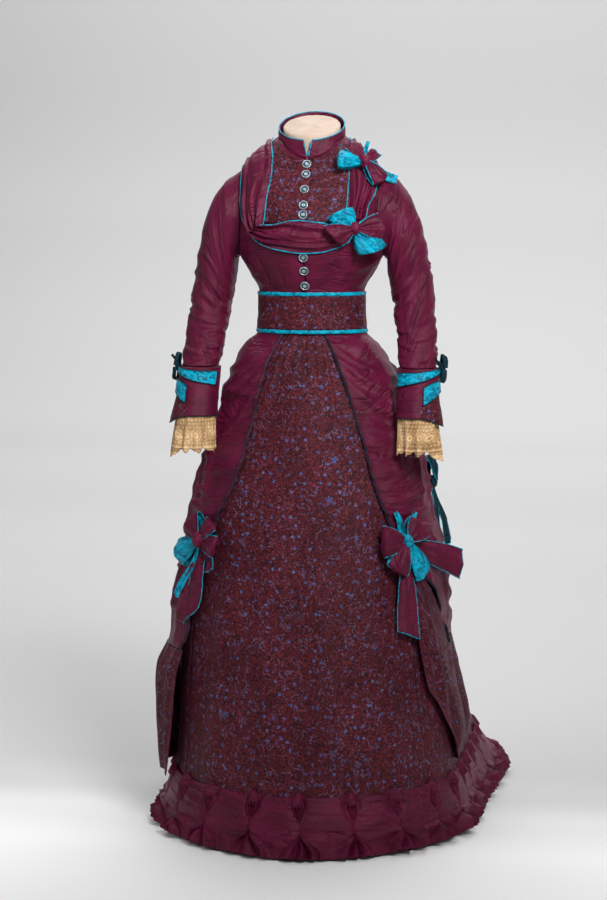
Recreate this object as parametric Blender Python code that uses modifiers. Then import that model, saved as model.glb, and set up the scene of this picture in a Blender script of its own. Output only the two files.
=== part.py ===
"""Afternoon dress of the 1870s on a limbless dress form.

Metres, +Z up. The dress faces -Y, and +X is the wearer's left. The origin is the centre of the underside of
the form's base. Cloth pieces are thin shells on two measured surfaces, the torso and the skirt. A point of
either is given by an angle around the body, 0 at the centre front and positive to the wearer's left, and a
height. What lies on a panel is made from the same points, moved out.
"""

import math

import bmesh
import bpy
from mathutils import Matrix, Vector

WALL = 0.0020
TRIM_WALL = 0.0016
LACE_WALL = 0.0012
SEAM_GAP = 0.0003
SEAM_TURN = 0.006
LAYER_GAP = 0.0010

# Torso rings. A ring's height at the side is its level; it drops at the front and rises at the back.
# Columns: level, front rise, back rise, half width, front, back.
TORSO = (
    (0.955, 0.000, 0.000, 0.1080, 0.0860, 0.0830),
    (0.985, 0.000, 0.000, 0.1040, 0.0830, 0.0790),
    (1.010, 0.000, 0.000, 0.1032, 0.0820, 0.0770),
    (1.045, 0.000, 0.000, 0.1040, 0.0850, 0.0780),
    (1.075, 0.000, 0.000, 0.1185, 0.0980, 0.0830),
    (1.105, 0.000, 0.000, 0.1360, 0.1090, 0.0880),
    (1.140, 0.000, 0.000, 0.1480, 0.1160, 0.0920),
    (1.180, -0.002, 0.000, 0.1515, 0.1160, 0.0950),
    (1.220, -0.006, 0.002, 0.1510, 0.1080, 0.0960),
    (1.250, -0.012, 0.006, 0.1480, 0.0970, 0.0940),
    (1.275, -0.018, 0.010, 0.1410, 0.0860, 0.0890),
    (1.300, -0.026, 0.013, 0.1250, 0.0750, 0.0810),
    (1.325, -0.035, 0.014, 0.0985, 0.0660, 0.0710),
    (1.350, -0.045, 0.012, 0.0665, 0.0580, 0.0600),
)
BUST_ANGLE = math.radians(30)
BUST_SPREAD = math.radians(17)
BUST_LEVEL = 1.145
BUST_RISE = 0.006
NECK_LEVEL = 1.350
BODICE_BOTTOM = 0.9865

# Skirt rings. The train widens behind the side by train_flare, and sways sideways by sway.
# Columns: height, half width, front, back, sway, train flare.
SKIRT = (
    (0.985, 0.1030, 0.0820, 0.0780, 0.000, 0.00),
    (0.965, 0.1040, 0.0830, 0.0800, 0.000, 0.00),
    (0.940, 0.1230, 0.0930, 0.1020, 0.000, 0.00),
    (0.900, 0.1450, 0.1080, 0.1400, 0.000, 0.00),
    (0.850, 0.1660, 0.1230, 0.1800, 0.000, 0.00),
    (0.780, 0.1860, 0.1400, 0.2150, 0.000, 0.00),
    (0.700, 0.2070, 0.1580, 0.2450, 0.000, 0.00),
    (0.600, 0.2280, 0.1810, 0.2800, 0.000, 0.05),
    (0.500, 0.2420, 0.2040, 0.3200, 0.000, 0.12),
    (0.400, 0.2530, 0.2260, 0.3650, 0.000, 0.20),
    (0.300, 0.2620, 0.2470, 0.4300, 0.001, 0.30),
    (0.200, 0.2700, 0.2680, 0.5200, 0.006, 0.45),
    (0.120, 0.2780, 0.2840, 0.6000, 0.010, 0.70),
    (0.030, 0.2880, 0.2960, 0.6500, 0.014, 0.90),
)
SKIRT_TOP = 0.985
PANEL_HEIGHTS = (0.020, 0.130, 0.250, 0.380, 0.520, 0.660, 0.800, 0.880, 0.935, 0.965, 0.985)

# How far the overskirt stands off the skirt at the wearer's right and left side, and at the back.
# Columns: height, right, left, back.
STAND_OFF = (
    (0.985, 0.0026, 0.0026, 0.0026),
    (0.965, 0.0030, 0.0030, 0.0030),
    (0.940, 0.0080, 0.0080, 0.0160),
    (0.900, 0.0120, 0.0120, 0.0400),
    (0.850, 0.0125, 0.0125, 0.0520),
    (0.800, 0.0080, 0.0080, 0.0540),
    (0.745, 0.0095, 0.0095, 0.0560),
    (0.600, 0.0145, 0.0160, 0.0500),
    (0.500, 0.0200, 0.0200, 0.0440),
    (0.410, 0.0245, 0.0160, 0.0380),
    (0.350, 0.0290, 0.0130, 0.0320),
    (0.300, 0.0400, 0.0120, 0.0280),
    (0.233, 0.0350, 0.0110, 0.0200),
    (0.145, 0.0280, 0.0090, 0.0120),
    (0.100, 0.0260, 0.0080, 0.0100),
)

# The front edge of the overskirt, as angles from the centre front to the wearer's right and left.
# Columns: height, right, left.
OPENING = (
    (0.985, 22.0, 17.0),
    (0.955, 25.9, 20.7),
    (0.921, 28.3, 24.5),
    (0.877, 29.8, 28.5),
    (0.801, 31.8, 33.8),
    (0.760, 33.1, 36.6),
    (0.690, 36.1, 39.2),
    (0.645, 40.1, 42.3),
    (0.606, 45.3, 45.7),
    (0.525, 50.0, 54.0),
    (0.485, 52.0, 66.0),
    (0.380, 54.0, 86.0),
    (0.350, 56.0, 92.0),
)
OVERSKIRT_BOTTOM = 0.350
OVERSKIRT_BACK_BOTTOM = 0.290
BACK_SEAM_ANGLE = math.radians(118)

# The front edge of the brocade side drapery below the overskirt.
# Columns: height, right, left.
TAIL = (
    (0.520, 50.0, 50.0),
    (0.480, 50.0, 55.0),
    (0.430, 52.0, 56.0),
    (0.366, 54.0, 58.0),
    (0.284, 55.0, 62.0),
    (0.258, 56.0, 67.0),
    (0.196, 59.0, 76.0),
    (0.147, 62.0, 82.0),
    (0.103, 64.0, 88.0),
)
TAIL_LEFT_TOP = 0.520
TAIL_BOTTOM_RIGHT = 0.103
TAIL_BOTTOM_LEFT = 0.130
TAIL_BACK_ANGLE = math.radians(117)

# Armhole: an oval in the torso surface at each side.
ARMHOLE_LEVEL = 1.200
ARMHOLE_HALF_HEIGHT = 0.085
ARMHOLE_FRONT = math.radians(28)
ARMHOLE_BACK = math.radians(26)
BODICE_LEVELS = (0.9865, 1.010, 1.045, 1.075, 1.095, 1.115, 1.130, 1.160, 1.200,
                 1.240, 1.270, 1.285, 1.300, 1.325, 1.350)
PANEL_COLUMNS = 8

# Sleeve rings for the wearer's left sleeve. The tilt turns a ring from upright at the shoulder to level.
# Columns: x, y, z, tilt, across, depth.
SLEEVE = (
    (0.1610, 0.004, 1.1860, 82, 0.0785, 0.0600),
    (0.1710, 0.005, 1.1610, 75, 0.0788, 0.0600),
    (0.1830, 0.006, 1.1275, 65, 0.0690, 0.0580),
    (0.1920, 0.008, 1.0875, 54, 0.0587, 0.0550),
    (0.1998, 0.010, 1.0425, 41, 0.0498, 0.0500),
    (0.2050, 0.011, 0.9915, 23, 0.0419, 0.0460),
    (0.2088, 0.010, 0.9425, 10, 0.0395, 0.0430),
    (0.2108, 0.009, 0.9005, 0, 0.0383, 0.0410),
)
CUFF = (
    (0.2110, 0.009, 0.8988, 0, 0.0405, 0.0430),
    (0.2110, 0.008, 0.8700, 0, 0.0410, 0.0430),
    (0.2108, 0.006, 0.8380, 0, 0.0415, 0.0430),
    (0.2106, 0.004, 0.8060, 0, 0.0420, 0.0430),
)
CUFF_TIP_DROP = 0.016
SLEEVE_BEND_TOP = 1.080
SLEEVE_BEND_BOTTOM = 0.740
SLEEVE_FORWARD = 0.100
SLEEVE_LEFT_OUT = 0.008
SLEEVE_RIGHT_OUT = 0.006
LACE_TOP = 0.8110
LACE_BOTTOM = 0.7390
LACE_TOP_RADIUS = 0.0380
LACE_HEM_RADIUS = 0.0400
LACE_DEPTH = 0.0010
LACE_WAVES = 9
LACE_STEPS = 4

# Columns: height, half width, front, back.
BELT = (
    (0.9650, 0.1098, 0.0890, 0.0868),
    (0.9850, 0.1085, 0.0875, 0.0835),
    (1.0050, 0.1066, 0.0854, 0.0810),
    (1.0455, 0.1070, 0.0880, 0.0805),
)
BELT_EDGE = 0.0074
BELT_EDGE_RISE = 0.0006

COLLAR_TOP = (0.0650, 0.0575, 0.0590)
COLLAR_FRONT_Z = 1.340
COLLAR_BACK_Z = 1.400
COLLAR_NOTCH = math.radians(13)

BUTTON_RADIUS = 0.0090
BUTTON_THICKNESS = 0.0040
# Columns: level, lift.
BUTTONS = (
    (1.3280, 0.0029),
    (1.2970, 0.0029),
    (1.2560, 0.0029),
    (1.2190, 0.0029),
    (1.1985, 0.0029),
    (1.1140, 0.0008),
    (1.0880, 0.0003),
    (1.0600, 0.0019),
)

# Vest (plastron) edges as angles, by level.
# Columns: level, right, left.
VEST = (
    (1.180, 40.0, 42.0),
    (1.220, 44.0, 44.0),
    (1.260, 46.0, 48.0),
    (1.300, 54.0, 58.0),
    (1.345, 66.0, 68.0),
)
VEST_LEVELS = (1.182, 1.200, 1.240, 1.270, 1.300, 1.325, 1.345)

# Shoulder drapery: the two edges of each band, row by row along it.
# Columns: inner angle, inner level, outer angle, outer level.
RIGHT_BAND = (
    (-86.0, 1.3440, -87.0, 1.2980),
    (-60.0, 1.3360, -78.0, 1.2860),
    (-43.6, 1.3240, -68.0, 1.2720),
    (-31.0, 1.2900, -62.5, 1.2480),
    (-29.0, 1.2640, -60.0, 1.2260),
    (-29.6, 1.2190, -57.5, 1.2020),
    (-30.0, 1.1950, -52.0, 1.1780),
    (-31.0, 1.1760, -46.0, 1.1600),
)
SWAG_BAND = (
    (-31.0, 1.1715, -43.0, 1.1500),
    (-21.9, 1.1780, -30.6, 1.1370),
    (-11.5, 1.1845, -17.7, 1.1287),
    (-2.0, 1.1867, 0.0, 1.1225),
    (8.2, 1.1835, 12.4, 1.1238),
    (18.7, 1.1804, 24.5, 1.1314),
    (29.0, 1.1790, 36.0, 1.1440),
)
LEFT_BAND = (
    (86.0, 1.3440, 87.0, 1.3050),
    (62.0, 1.3300, 78.0, 1.2880),
    (45.0, 1.3080, 68.0, 1.2700),
    (37.8, 1.2890, 62.5, 1.2520),
    (33.5, 1.2510, 58.5, 1.2360),
    (32.1, 1.2120, 52.0, 1.2170),
    (31.0, 1.1860, 49.0, 1.1880),
)
BAND_PLEATS = 3
BAND_PLEAT_STEPS = 4
BAND_PLEAT_DEPTH = 0.0036
BAND_LIFT = 0.0056
SWAG_LIFT = 0.0048

# Flounce: one gathered strip round the hem, pinched into clusters.
# Columns: half width, front, back, sway, train flare.
HEM = (0.331, 0.325, 0.720, 0.016, 0.90)
HEM_HEIGHT = 0.0030
FLOUNCE_TOP = 0.124
FLOUNCE_TOP_OFF = 0.0025
FLOUNCE_CLUSTERS = 30
CLUSTER_STEPS = 5
FLOUNCE_ROWS = (0.0, 0.34, 0.70, 1.0)

FORM_BOTTOM = 0.860
FORM_LEVELS = (0.900, 0.940, 0.965, 0.9845, 1.010, 1.045, 1.075, 1.095, 1.130, 1.160,
               1.200, 1.240, 1.270, 1.300, 1.325)
FORM_WAIST_INSET = 0.0026
FORM_INSET = 0.0050
FORM_BACK_SHARE = 0.86
FORM_NECK = (0.0565, 0.0490, 0.0510)
NECK_TOP_FRONT = 1.3495
NECK_TOP_BACK = 1.3955
POLE_RADIUS = 0.012
BASE_RADIUS = 0.160
BASE_THICKNESS = 0.018

COLORS = {
    "plum_silk": ((0.115, 0.014, 0.055), 0.45, 0.0),
    "brocade": ((0.085, 0.010, 0.020), 0.50, 0.0),
    "teal_satin": ((0.0, 0.190, 0.300), 0.30, 0.0),
    "dark_satin": ((0.004, 0.040, 0.055), 0.35, 0.0),
    "lace": ((0.680, 0.430, 0.200), 0.85, 0.0),
    "button": ((0.100, 0.160, 0.210), 0.35, 0.0),
    "linen": ((0.640, 0.500, 0.400), 0.80, 0.0),
    "stand": ((0.050, 0.045, 0.045), 0.40, 0.6),
}


def clear_scene():
    for thing in list(bpy.data.objects):
        bpy.data.objects.remove(thing, do_unlink=True)


def new_collection(name, hidden=False):
    made = bpy.data.collections.new(name)
    made.hide_render = hidden
    bpy.context.scene.collection.children.link(made)
    return made


def material(name):
    color, roughness, metallic = COLORS[name]
    made = bpy.data.materials.get(name)
    if made is None:
        made = bpy.data.materials.new(name)
        made.use_nodes = True
        shader = made.node_tree.nodes["Principled BSDF"]
        shader.inputs["Base Color"].default_value = (*color, 1.0)
        shader.inputs["Roughness"].default_value = roughness
        shader.inputs["Metallic"].default_value = metallic
    return made


def column(table, key, index):
    """One column of a table at a key, on a smooth curve that never swings past its rows."""
    rows = sorted(table)
    last = len(rows) - 1
    key = min(max(key, rows[0][0]), rows[last][0])
    at = 0
    while at < last - 1 and key > rows[at + 1][0]:
        at += 1

    def slope(i):
        return (rows[i + 1][index] - rows[i][index]) / (rows[i + 1][0] - rows[i][0])

    def tangent(i):
        if i == 0:
            return slope(0)
        if i == last:
            return slope(last - 1)
        before = slope(i - 1)
        after = slope(i)
        return 0.0 if before * after <= 0 else 2 * before * after / (before + after)

    span = rows[at + 1][0] - rows[at][0]
    t = (key - rows[at][0]) / span
    return (
        (2 * t**3 - 3 * t**2 + 1) * rows[at][index]
        + (t**3 - 2 * t**2 + t) * span * tangent(at)
        + (3 * t**2 - 2 * t**3) * rows[at + 1][index]
        + (t**3 - t**2) * span * tangent(at + 1)
    )


def mix(a, b, t):
    return a + (b - a) * t


def smooth_step(t):
    t = min(max(t, 0.0), 1.0)
    return t * t * (3 - 2 * t)


def oval(angle, half_width, front, back):
    """A point of a ring with its own half width, front depth and back depth."""
    depth = front if math.cos(angle) > 0 else back
    return half_width * math.sin(angle), -depth * math.cos(angle)


def torso_point(angle, level):
    front_rise, back_rise, half_width, front, back = (column(TORSO, level, i) for i in range(1, 6))
    x, y = oval(angle, half_width, front, back)
    across = (abs(angle) - BUST_ANGLE) / BUST_SPREAD
    up = (level - BUST_LEVEL) / 0.04
    y -= BUST_RISE * math.exp(-across * across - up * up)
    rise = front_rise if math.cos(angle) > 0 else back_rise
    return Vector((x, y, level + rise * math.cos(angle) ** 2))


def skirt_point(angle, height):
    half_width, front, back, sway, flare = (column(SKIRT, height, i) for i in range(1, 6))
    x, y = oval(angle, half_width, front, back)
    if math.cos(angle) < 0:
        x *= 1 + flare * math.cos(angle) ** 2
    return Vector((x + sway, y, height))


def moved_out(surface, angle, height, distance):
    """A point of a surface, moved along its outward normal."""
    step = 1e-4
    here = surface(angle, height)
    around = surface(angle + step, height) - here
    up = surface(angle, height + step) - here
    return here + around.cross(up).normalized() * distance


def stand_off(angle, height):
    """The distance from the skirt to the overskirt."""
    side = 1 if angle < 0 else 2
    at_side = column(STAND_OFF, height, side)
    at_back = column(STAND_OFF, height, 3)
    turn = abs(angle)
    near_front = 0.45 + 0.55 * smooth_step((turn - math.radians(25)) / math.radians(45))
    front_part = max(at_side * near_front, min(at_side, 0.0026))
    return mix(front_part, at_back, smooth_step((turn - math.radians(100)) / math.radians(50)))


def overskirt_point(angle, height, lift=0.0):
    return moved_out(skirt_point, angle, height, stand_off(angle, height) + lift)


def angle_steps(start, end, count):
    return [mix(start, end, i / count) for i in range(count + 1)]


def add_mesh(name, points, faces, fabric, collection):
    mesh = bpy.data.meshes.new(name)
    mesh.from_pydata([tuple(p) for p in points], [], faces)
    mesh.validate()
    mesh.shade_smooth()
    made = bpy.data.objects.new(name, mesh)
    made.data.materials.append(material(fabric))
    collection.objects.link(made)
    return made


def grid_faces(rows, columns, closed):
    faces = []
    for r in range(rows - 1):
        for c in range(columns if closed else columns - 1):
            right = (c + 1) % columns
            faces.append((r * columns + c, r * columns + right, (r + 1) * columns + right, (r + 1) * columns + c))
    return faces


def sheet(name, grid, fabric, closed=False, wall=WALL, middle=False, collection=None):
    """A cloth piece: an open grid of outer points, thickened inwards."""
    points = [p for row in grid for p in row]
    faces = grid_faces(len(grid), len(grid[0]), closed)
    made = add_mesh(name, points, faces, fabric, collection or PARTS)
    shell = made.modifiers.new("Wall", "SOLIDIFY")
    shell.thickness = wall
    shell.offset = 0.0 if middle else -1.0
    return made


def loft(name, rings, fabric):
    """A closed solid through rings of equal counts, with flat ends."""
    count = len(rings[0])
    points = [p for ring in rings for p in ring]
    faces = grid_faces(len(rings), count, True)
    faces.append(tuple(reversed(range(count))))
    faces.append(tuple(range((len(rings) - 1) * count, len(rings) * count)))
    return add_mesh(name, points, faces, fabric, PARTS)


def mirrored(grid):
    """The same piece on the wearer's other side."""
    return [[Vector((-p.x, p.y, p.z)) for p in reversed(row)] for row in grid]


def cylinder(name, radius, bottom, top, fabric, segments):
    mesh = bpy.data.meshes.new(name)
    shape = bmesh.new()
    bmesh.ops.create_cone(shape, cap_ends=True, segments=segments, radius1=radius, radius2=radius,
                          depth=top - bottom, matrix=Matrix.Translation((0, 0, (top + bottom) / 2)))
    shape.to_mesh(mesh)
    shape.free()
    mesh.shade_smooth()
    mesh.set_sharp_from_angle(angle=math.radians(40))
    made = bpy.data.objects.new(name, mesh)
    made.data.materials.append(material(fabric))
    PARTS.objects.link(made)
    return made


def form_ring(level, steps):
    """A ring of the dress form, inside the bodice above the waist and inside the skirt below it."""
    ring = []
    for i in range(steps):
        angle = 2 * math.pi * i / steps
        if level < SKIRT_TOP:
            edge = skirt_point(angle, level)
            share = 1 - FORM_INSET / math.hypot(edge.x, edge.y)
            depth = share if edge.y < 0 else share * FORM_BACK_SHARE
            ring.append(Vector((edge.x * share, edge.y * depth, level)))
        else:
            near_waist = 1 - smooth_step((abs(level - 1.020) - 0.026) / 0.030)
            inset = mix(FORM_INSET, FORM_WAIST_INSET, near_waist)
            ring.append(moved_out(torso_point, angle, level, -inset))
    return ring


def neck_ring(front_z, back_z, scale, steps):
    ring = []
    for i in range(steps):
        angle = 2 * math.pi * i / steps
        x, y = oval(angle, *(size * scale for size in FORM_NECK))
        ring.append(Vector((x, y, mix(front_z, back_z, (1 - math.cos(angle)) / 2))))
    return ring


def dress_form():
    steps = 3 * PANEL_COLUMNS
    levels = (FORM_BOTTOM,) + FORM_LEVELS
    rings = [form_ring(level, steps) for level in levels]
    rings.append(neck_ring(1.318, 1.368, 1.0, steps))
    rings.append(neck_ring(NECK_TOP_FRONT - 0.003, NECK_TOP_BACK - 0.003, 1.0, steps))
    rings.append(neck_ring(NECK_TOP_FRONT, NECK_TOP_BACK, 0.93, steps))
    loft("form_torso", rings, "linen")
    cylinder("form_base", BASE_RADIUS, 0.0, BASE_THICKNESS, "stand", 32)
    cylinder("form_pole", POLE_RADIUS, BASE_THICKNESS + SEAM_GAP, FORM_BOTTOM - SEAM_GAP, "stand", 16)


def armhole_turn(level, reach):
    """How far the armhole cuts back a panel's side edge at this level."""
    across = (level - ARMHOLE_LEVEL) / ARMHOLE_HALF_HEIGHT
    return reach * math.sqrt(1 - across * across) if abs(across) < 1 else 0.0


def bodice():
    seam = SEAM_TURN
    quarter = math.pi / 2
    front = []
    back = []
    for level in BODICE_LEVELS:
        edge = quarter - armhole_turn(level, ARMHOLE_FRONT) - seam
        front.append([torso_point(a, level) for a in angle_steps(seam, edge, PANEL_COLUMNS)])
        edge = quarter + armhole_turn(level, ARMHOLE_BACK) + seam
        back.append([torso_point(a, level) for a in angle_steps(edge, math.pi - seam, PANEL_COLUMNS)])
    sheet("bodice_front_left", front, "plum_silk")
    sheet("bodice_front_right", mirrored(front), "plum_silk")
    sheet("bodice_back_left", back, "plum_silk")
    sheet("bodice_back_right", mirrored(back), "plum_silk")


def vest():
    """The brocade vest front, laid over both fronts from the neck to under the swag."""
    lift = LAYER_GAP + TRIM_WALL
    grid = []
    for level in VEST_LEVELS:
        right = -math.radians(column(VEST, level, 1))
        left = math.radians(column(VEST, level, 2))
        grid.append([moved_out(torso_point, a, level, lift) for a in angle_steps(right, left, 11)])
    sheet("plastron", grid, "brocade", wall=TRIM_WALL)


def collar():
    """The stand collar, open in a V at the centre front."""
    grid = []
    for t in (0.0, 0.5, 1.0):
        start = mix(math.radians(0.6), COLLAR_NOTCH, t)
        row = []
        for angle in angle_steps(start, 2 * math.pi - start, 28):
            foot = torso_point(math.remainder(angle, 2 * math.pi), NECK_LEVEL)
            x, y = oval(angle, *COLLAR_TOP)
            top_z = mix(COLLAR_FRONT_Z, COLLAR_BACK_Z, (1 - math.cos(angle)) / 2)
            row.append(Vector((mix(foot.x, x, t), mix(foot.y, y, t), mix(foot.z + 2 * SEAM_GAP, top_z, t))))
        grid.append(row)
    sheet("collar", grid, "plum_silk", wall=TRIM_WALL)


def outward(surface, angle, height):
    return (moved_out(surface, angle, height, 1.0) - surface(angle, height)).normalized()


def buttons():
    """Turned buttons, the upper ones on the vest and the lower ones on the fronts."""
    mesh = bpy.data.meshes.new("button")
    shape = bmesh.new()
    bmesh.ops.create_cone(shape, cap_ends=True, segments=12, radius1=BUTTON_RADIUS,
                          radius2=BUTTON_RADIUS * 0.8, depth=BUTTON_THICKNESS)
    shape.to_mesh(mesh)
    shape.free()
    mesh.materials.append(material("button"))
    for number, (level, lift) in enumerate(BUTTONS, 1):
        direction = outward(torso_point, 0.0, level)
        made = bpy.data.objects.new(f"button_{number}", mesh)
        made.location = torso_point(0.0, level) + direction * (lift + BUTTON_THICKNESS / 2)
        made.rotation_mode = "QUATERNION"
        made.rotation_quaternion = direction.to_track_quat("Z", "Y")
        PARTS.objects.link(made)


def band(name, rows, base, flip):
    """A pleated drapery band between two edges on the torso."""
    steps = BAND_PLEATS * BAND_PLEAT_STEPS
    grid = []
    for number, (inner_angle, inner_level, outer_angle, outer_level) in enumerate(rows):
        along = number / (len(rows) - 1)
        row = []
        for i in range(steps + 1):
            u = i / steps
            angle = math.radians(mix(inner_angle, outer_angle, u))
            level = mix(inner_level, outer_level, u)
            pleat = 0.5 - 0.5 * math.cos(2 * math.pi * BAND_PLEATS * (u + 0.04 * math.sin(5 * along)))
            lift = base + BAND_PLEAT_DEPTH * pleat
            row.append(moved_out(torso_point, angle, level, lift))
        grid.append(list(reversed(row)) if flip else row)
    sheet(name, grid, "plum_silk", wall=TRIM_WALL)


def drapery():
    band("drape_right", RIGHT_BAND, BAND_LIFT, False)
    band("drape_front", SWAG_BAND, SWAG_LIFT, False)
    band("drape_left", LEFT_BAND, BAND_LIFT, True)


def belt_ring(height, rise, steps=32):
    half_width, front, back = (column(BELT, height, i) + rise for i in range(1, 4))
    ring = []
    for i in range(steps):
        x, y = oval(2 * math.pi * i / steps, half_width, front, back)
        ring.append(Vector((x, y, height)))
    return ring


def belt():
    bottom = BELT[0][0]
    top = BELT[-1][0]
    inner_bottom = bottom + BELT_EDGE + SEAM_GAP
    inner_top = top - BELT_EDGE - SEAM_GAP
    heights = (inner_bottom, 0.985, 1.005, inner_top)
    sheet("belt_band", [belt_ring(h, 0.0) for h in heights], "brocade", closed=True)
    sheet("belt_edge_bottom", [belt_ring(h, BELT_EDGE_RISE) for h in (bottom, bottom + BELT_EDGE)],
          "teal_satin", closed=True)
    sheet("belt_edge_top", [belt_ring(h, BELT_EDGE_RISE) for h in (top - BELT_EDGE, top)],
          "teal_satin", closed=True)


def sleeve_turns():
    """Angles round the sleeve that meet the armhole at the bodice's own levels."""
    levels = [v for v in BODICE_LEVELS if abs(v - ARMHOLE_LEVEL) <= ARMHOLE_HALF_HEIGHT + 1e-6]
    half = [math.acos(max(-1.0, min(1.0, (v - ARMHOLE_LEVEL) / ARMHOLE_HALF_HEIGHT))) for v in reversed(levels)]
    return half + [2 * math.pi - turn for turn in reversed(half[1:-1])]


def sleeve_ring(row, turns, grow=0.0):
    x, y, z, tilt, across, depth = row
    out = Vector((math.cos(math.radians(tilt)), 0, math.sin(math.radians(tilt))))
    forward = Vector((0, -1, 0))
    centre = Vector((x, y, z))
    return [centre + out * (across + grow) * math.cos(t) + forward * (depth + grow) * math.sin(t) for t in turns]


def armhole_ring(turns):
    ring = []
    for turn in turns:
        level = ARMHOLE_LEVEL + ARMHOLE_HALF_HEIGHT * math.cos(turn)
        reach = -ARMHOLE_FRONT if math.sin(turn) >= 0 else ARMHOLE_BACK
        angle = math.pi / 2 + reach * abs(math.sin(turn))
        ring.append(torso_point(angle, level) + Vector((2 * SEAM_GAP, 0, 0)))
    return ring


def hung(grid, side):
    """The lower sleeve comes forward, clear of the skirt."""
    moved = []
    for row in grid:
        line = []
        for p in row:
            t = smooth_step((SLEEVE_BEND_TOP - p.z) / (SLEEVE_BEND_TOP - SLEEVE_BEND_BOTTOM))
            out = (SLEEVE_LEFT_OUT if side > 0 else -SLEEVE_RIGHT_OUT) * t
            line.append(Vector((p.x + out, p.y - SLEEVE_FORWARD * t, p.z)))
        moved.append(line)
    return moved


def both_sides(name, grid, fabric, closed=True, wall=WALL):
    """The same sleeve piece for both arms."""
    sheet(f"{name}_left", hung(grid, 1), fabric, closed=closed, wall=wall)
    sheet(f"{name}_right", hung(mirrored(grid), -1), fabric, closed=closed, wall=wall)


def sleeves():
    turns = sleeve_turns()
    grid = [armhole_ring(turns)] + [sleeve_ring(row, turns) for row in SLEEVE]
    both_sides("sleeve", grid, "plum_silk")


def even_turns(count):
    return [2 * math.pi * i / count for i in range(count)]


def cuff_point(turn, down, grow=0.0):
    """A point of the left cuff: turn from the outer side to the front, down from 0 at the top to 1."""
    rows = [(i / (len(CUFF) - 1), *row) for i, row in enumerate(CUFF)]
    row = [column(rows, down, i) for i in range(1, 7)]
    point = sleeve_ring(row, [turn], grow)[0]
    tip = max(0.0, math.cos(turn)) ** 3 * smooth_step((down - 0.55) / 0.45)
    return point + Vector((0.004 * tip, 0, -CUFF_TIP_DROP * tip))


def cuffs():
    turns = even_turns(16)
    grid = [[cuff_point(t, down) for t in turns] for down in (0.0, 0.33, 0.66, 1.0)]
    both_sides("cuff", grid, "plum_silk")
    lift = LAYER_GAP + TRIM_WALL
    upper = ((-30, 0.00, 0.09), (0, 0.01, 0.10), (30, 0.02, 0.16), (60, 0.05, 0.24), (90, 0.08, 0.31),
             (120, 0.09, 0.36), (150, 0.10, 0.40))
    lower = ((-20, 0.30, 0.46), (10, 0.28, 0.52), (40, 0.30, 0.62), (70, 0.40, 0.74))
    for part, rows in (("upper", upper), ("lower", lower)):
        straps = []
        for share in (0.0, 0.5, 1.0):
            fine = [mix_rows(rows, i / 9) for i in range(10)]
            straps.append([cuff_point(math.radians(turn), mix(top, low, share), lift) for turn, top, low in fine])
        both_sides(f"cuff_band_{part}", straps, "teal_satin", closed=False, wall=TRIM_WALL)


def mix_rows(rows, t):
    """A row of a table read part of the way along it."""
    place = t * (len(rows) - 1)
    at = min(int(place), len(rows) - 2)
    return [mix(a, b, place - at) for a, b in zip(rows[at], rows[at + 1])]


def lace_frills():
    steps = LACE_WAVES * LACE_STEPS
    grid = []
    for t in (0.0, 1.0):
        row = []
        for i in range(steps):
            turn = 2 * math.pi * i / steps
            wave = math.cos(LACE_WAVES * turn)
            radius = mix(LACE_TOP_RADIUS, LACE_HEM_RADIUS, t) + 0.0035 * t * wave
            z = mix(LACE_TOP, LACE_BOTTOM, t) - 0.004 * t * wave - 0.012 * t * max(0.0, math.cos(turn)) ** 2
            row.append(Vector((0.2106 + 0.004 * t + radius * math.cos(turn), 0.004 - (radius + LACE_DEPTH) * math.sin(turn), z)))
        grid.append(row)
    both_sides("cuff_lace", grid, "lace", wall=LACE_WALL)


def panel(name, fabric, surface, start, end, steps, heights):
    """A skirt breadth between two seams."""
    grid = [[surface(a, h) for a in angle_steps(start, end, steps)] for h in heights]
    sheet(name, grid, fabric)


def underskirt():
    seam = SEAM_TURN
    side = math.radians(58)
    back = math.radians(120)
    panel("skirt_front", "brocade", skirt_point, -side + seam, side - seam, 11, PANEL_HEIGHTS)
    panel("skirt_left", "brocade", skirt_point, side + seam, back - seam, 7, PANEL_HEIGHTS)
    panel("skirt_right", "brocade", skirt_point, -back + seam, -side - seam, 7, PANEL_HEIGHTS)
    panel("skirt_back", "brocade", skirt_point, back + seam, 2 * math.pi - back - seam, 11, PANEL_HEIGHTS)


def overskirt():
    seam = SEAM_TURN
    heights = [h for h in PANEL_HEIGHTS if h > OVERSKIRT_BOTTOM]
    heights = [OVERSKIRT_BOTTOM] + heights
    for side, name, index in ((1, "overskirt_left", 2), (-1, "overskirt_right", 1)):
        grid = []
        for h in heights:
            edge = math.radians(column(OPENING, h, index))
            turns = angle_steps(edge, BACK_SEAM_ANGLE - seam, 10)
            row = [overskirt_point(side * turn, h) for turn in turns]
            grid.append(row if side > 0 else list(reversed(row)))
        sheet(name, grid, "plum_silk")
    heights = [OVERSKIRT_BACK_BOTTOM] + heights
    grid = []
    for h in heights:
        row = []
        for angle in angle_steps(BACK_SEAM_ANGLE + seam, 2 * math.pi - BACK_SEAM_ANGLE - seam, 11):
            turned = math.remainder(angle, 2 * math.pi)
            swag = math.sin(math.pi * (h - 0.30) / 0.11) * smooth_step((abs(turned) - BACK_SEAM_ANGLE) / 0.5)
            fade = smooth_step((0.93 - h) / 0.10)
            row.append(overskirt_point(turned, h, 0.010 * swag * fade))
        grid.append(row)
    sheet("overskirt_back", grid, "plum_silk")


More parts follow.
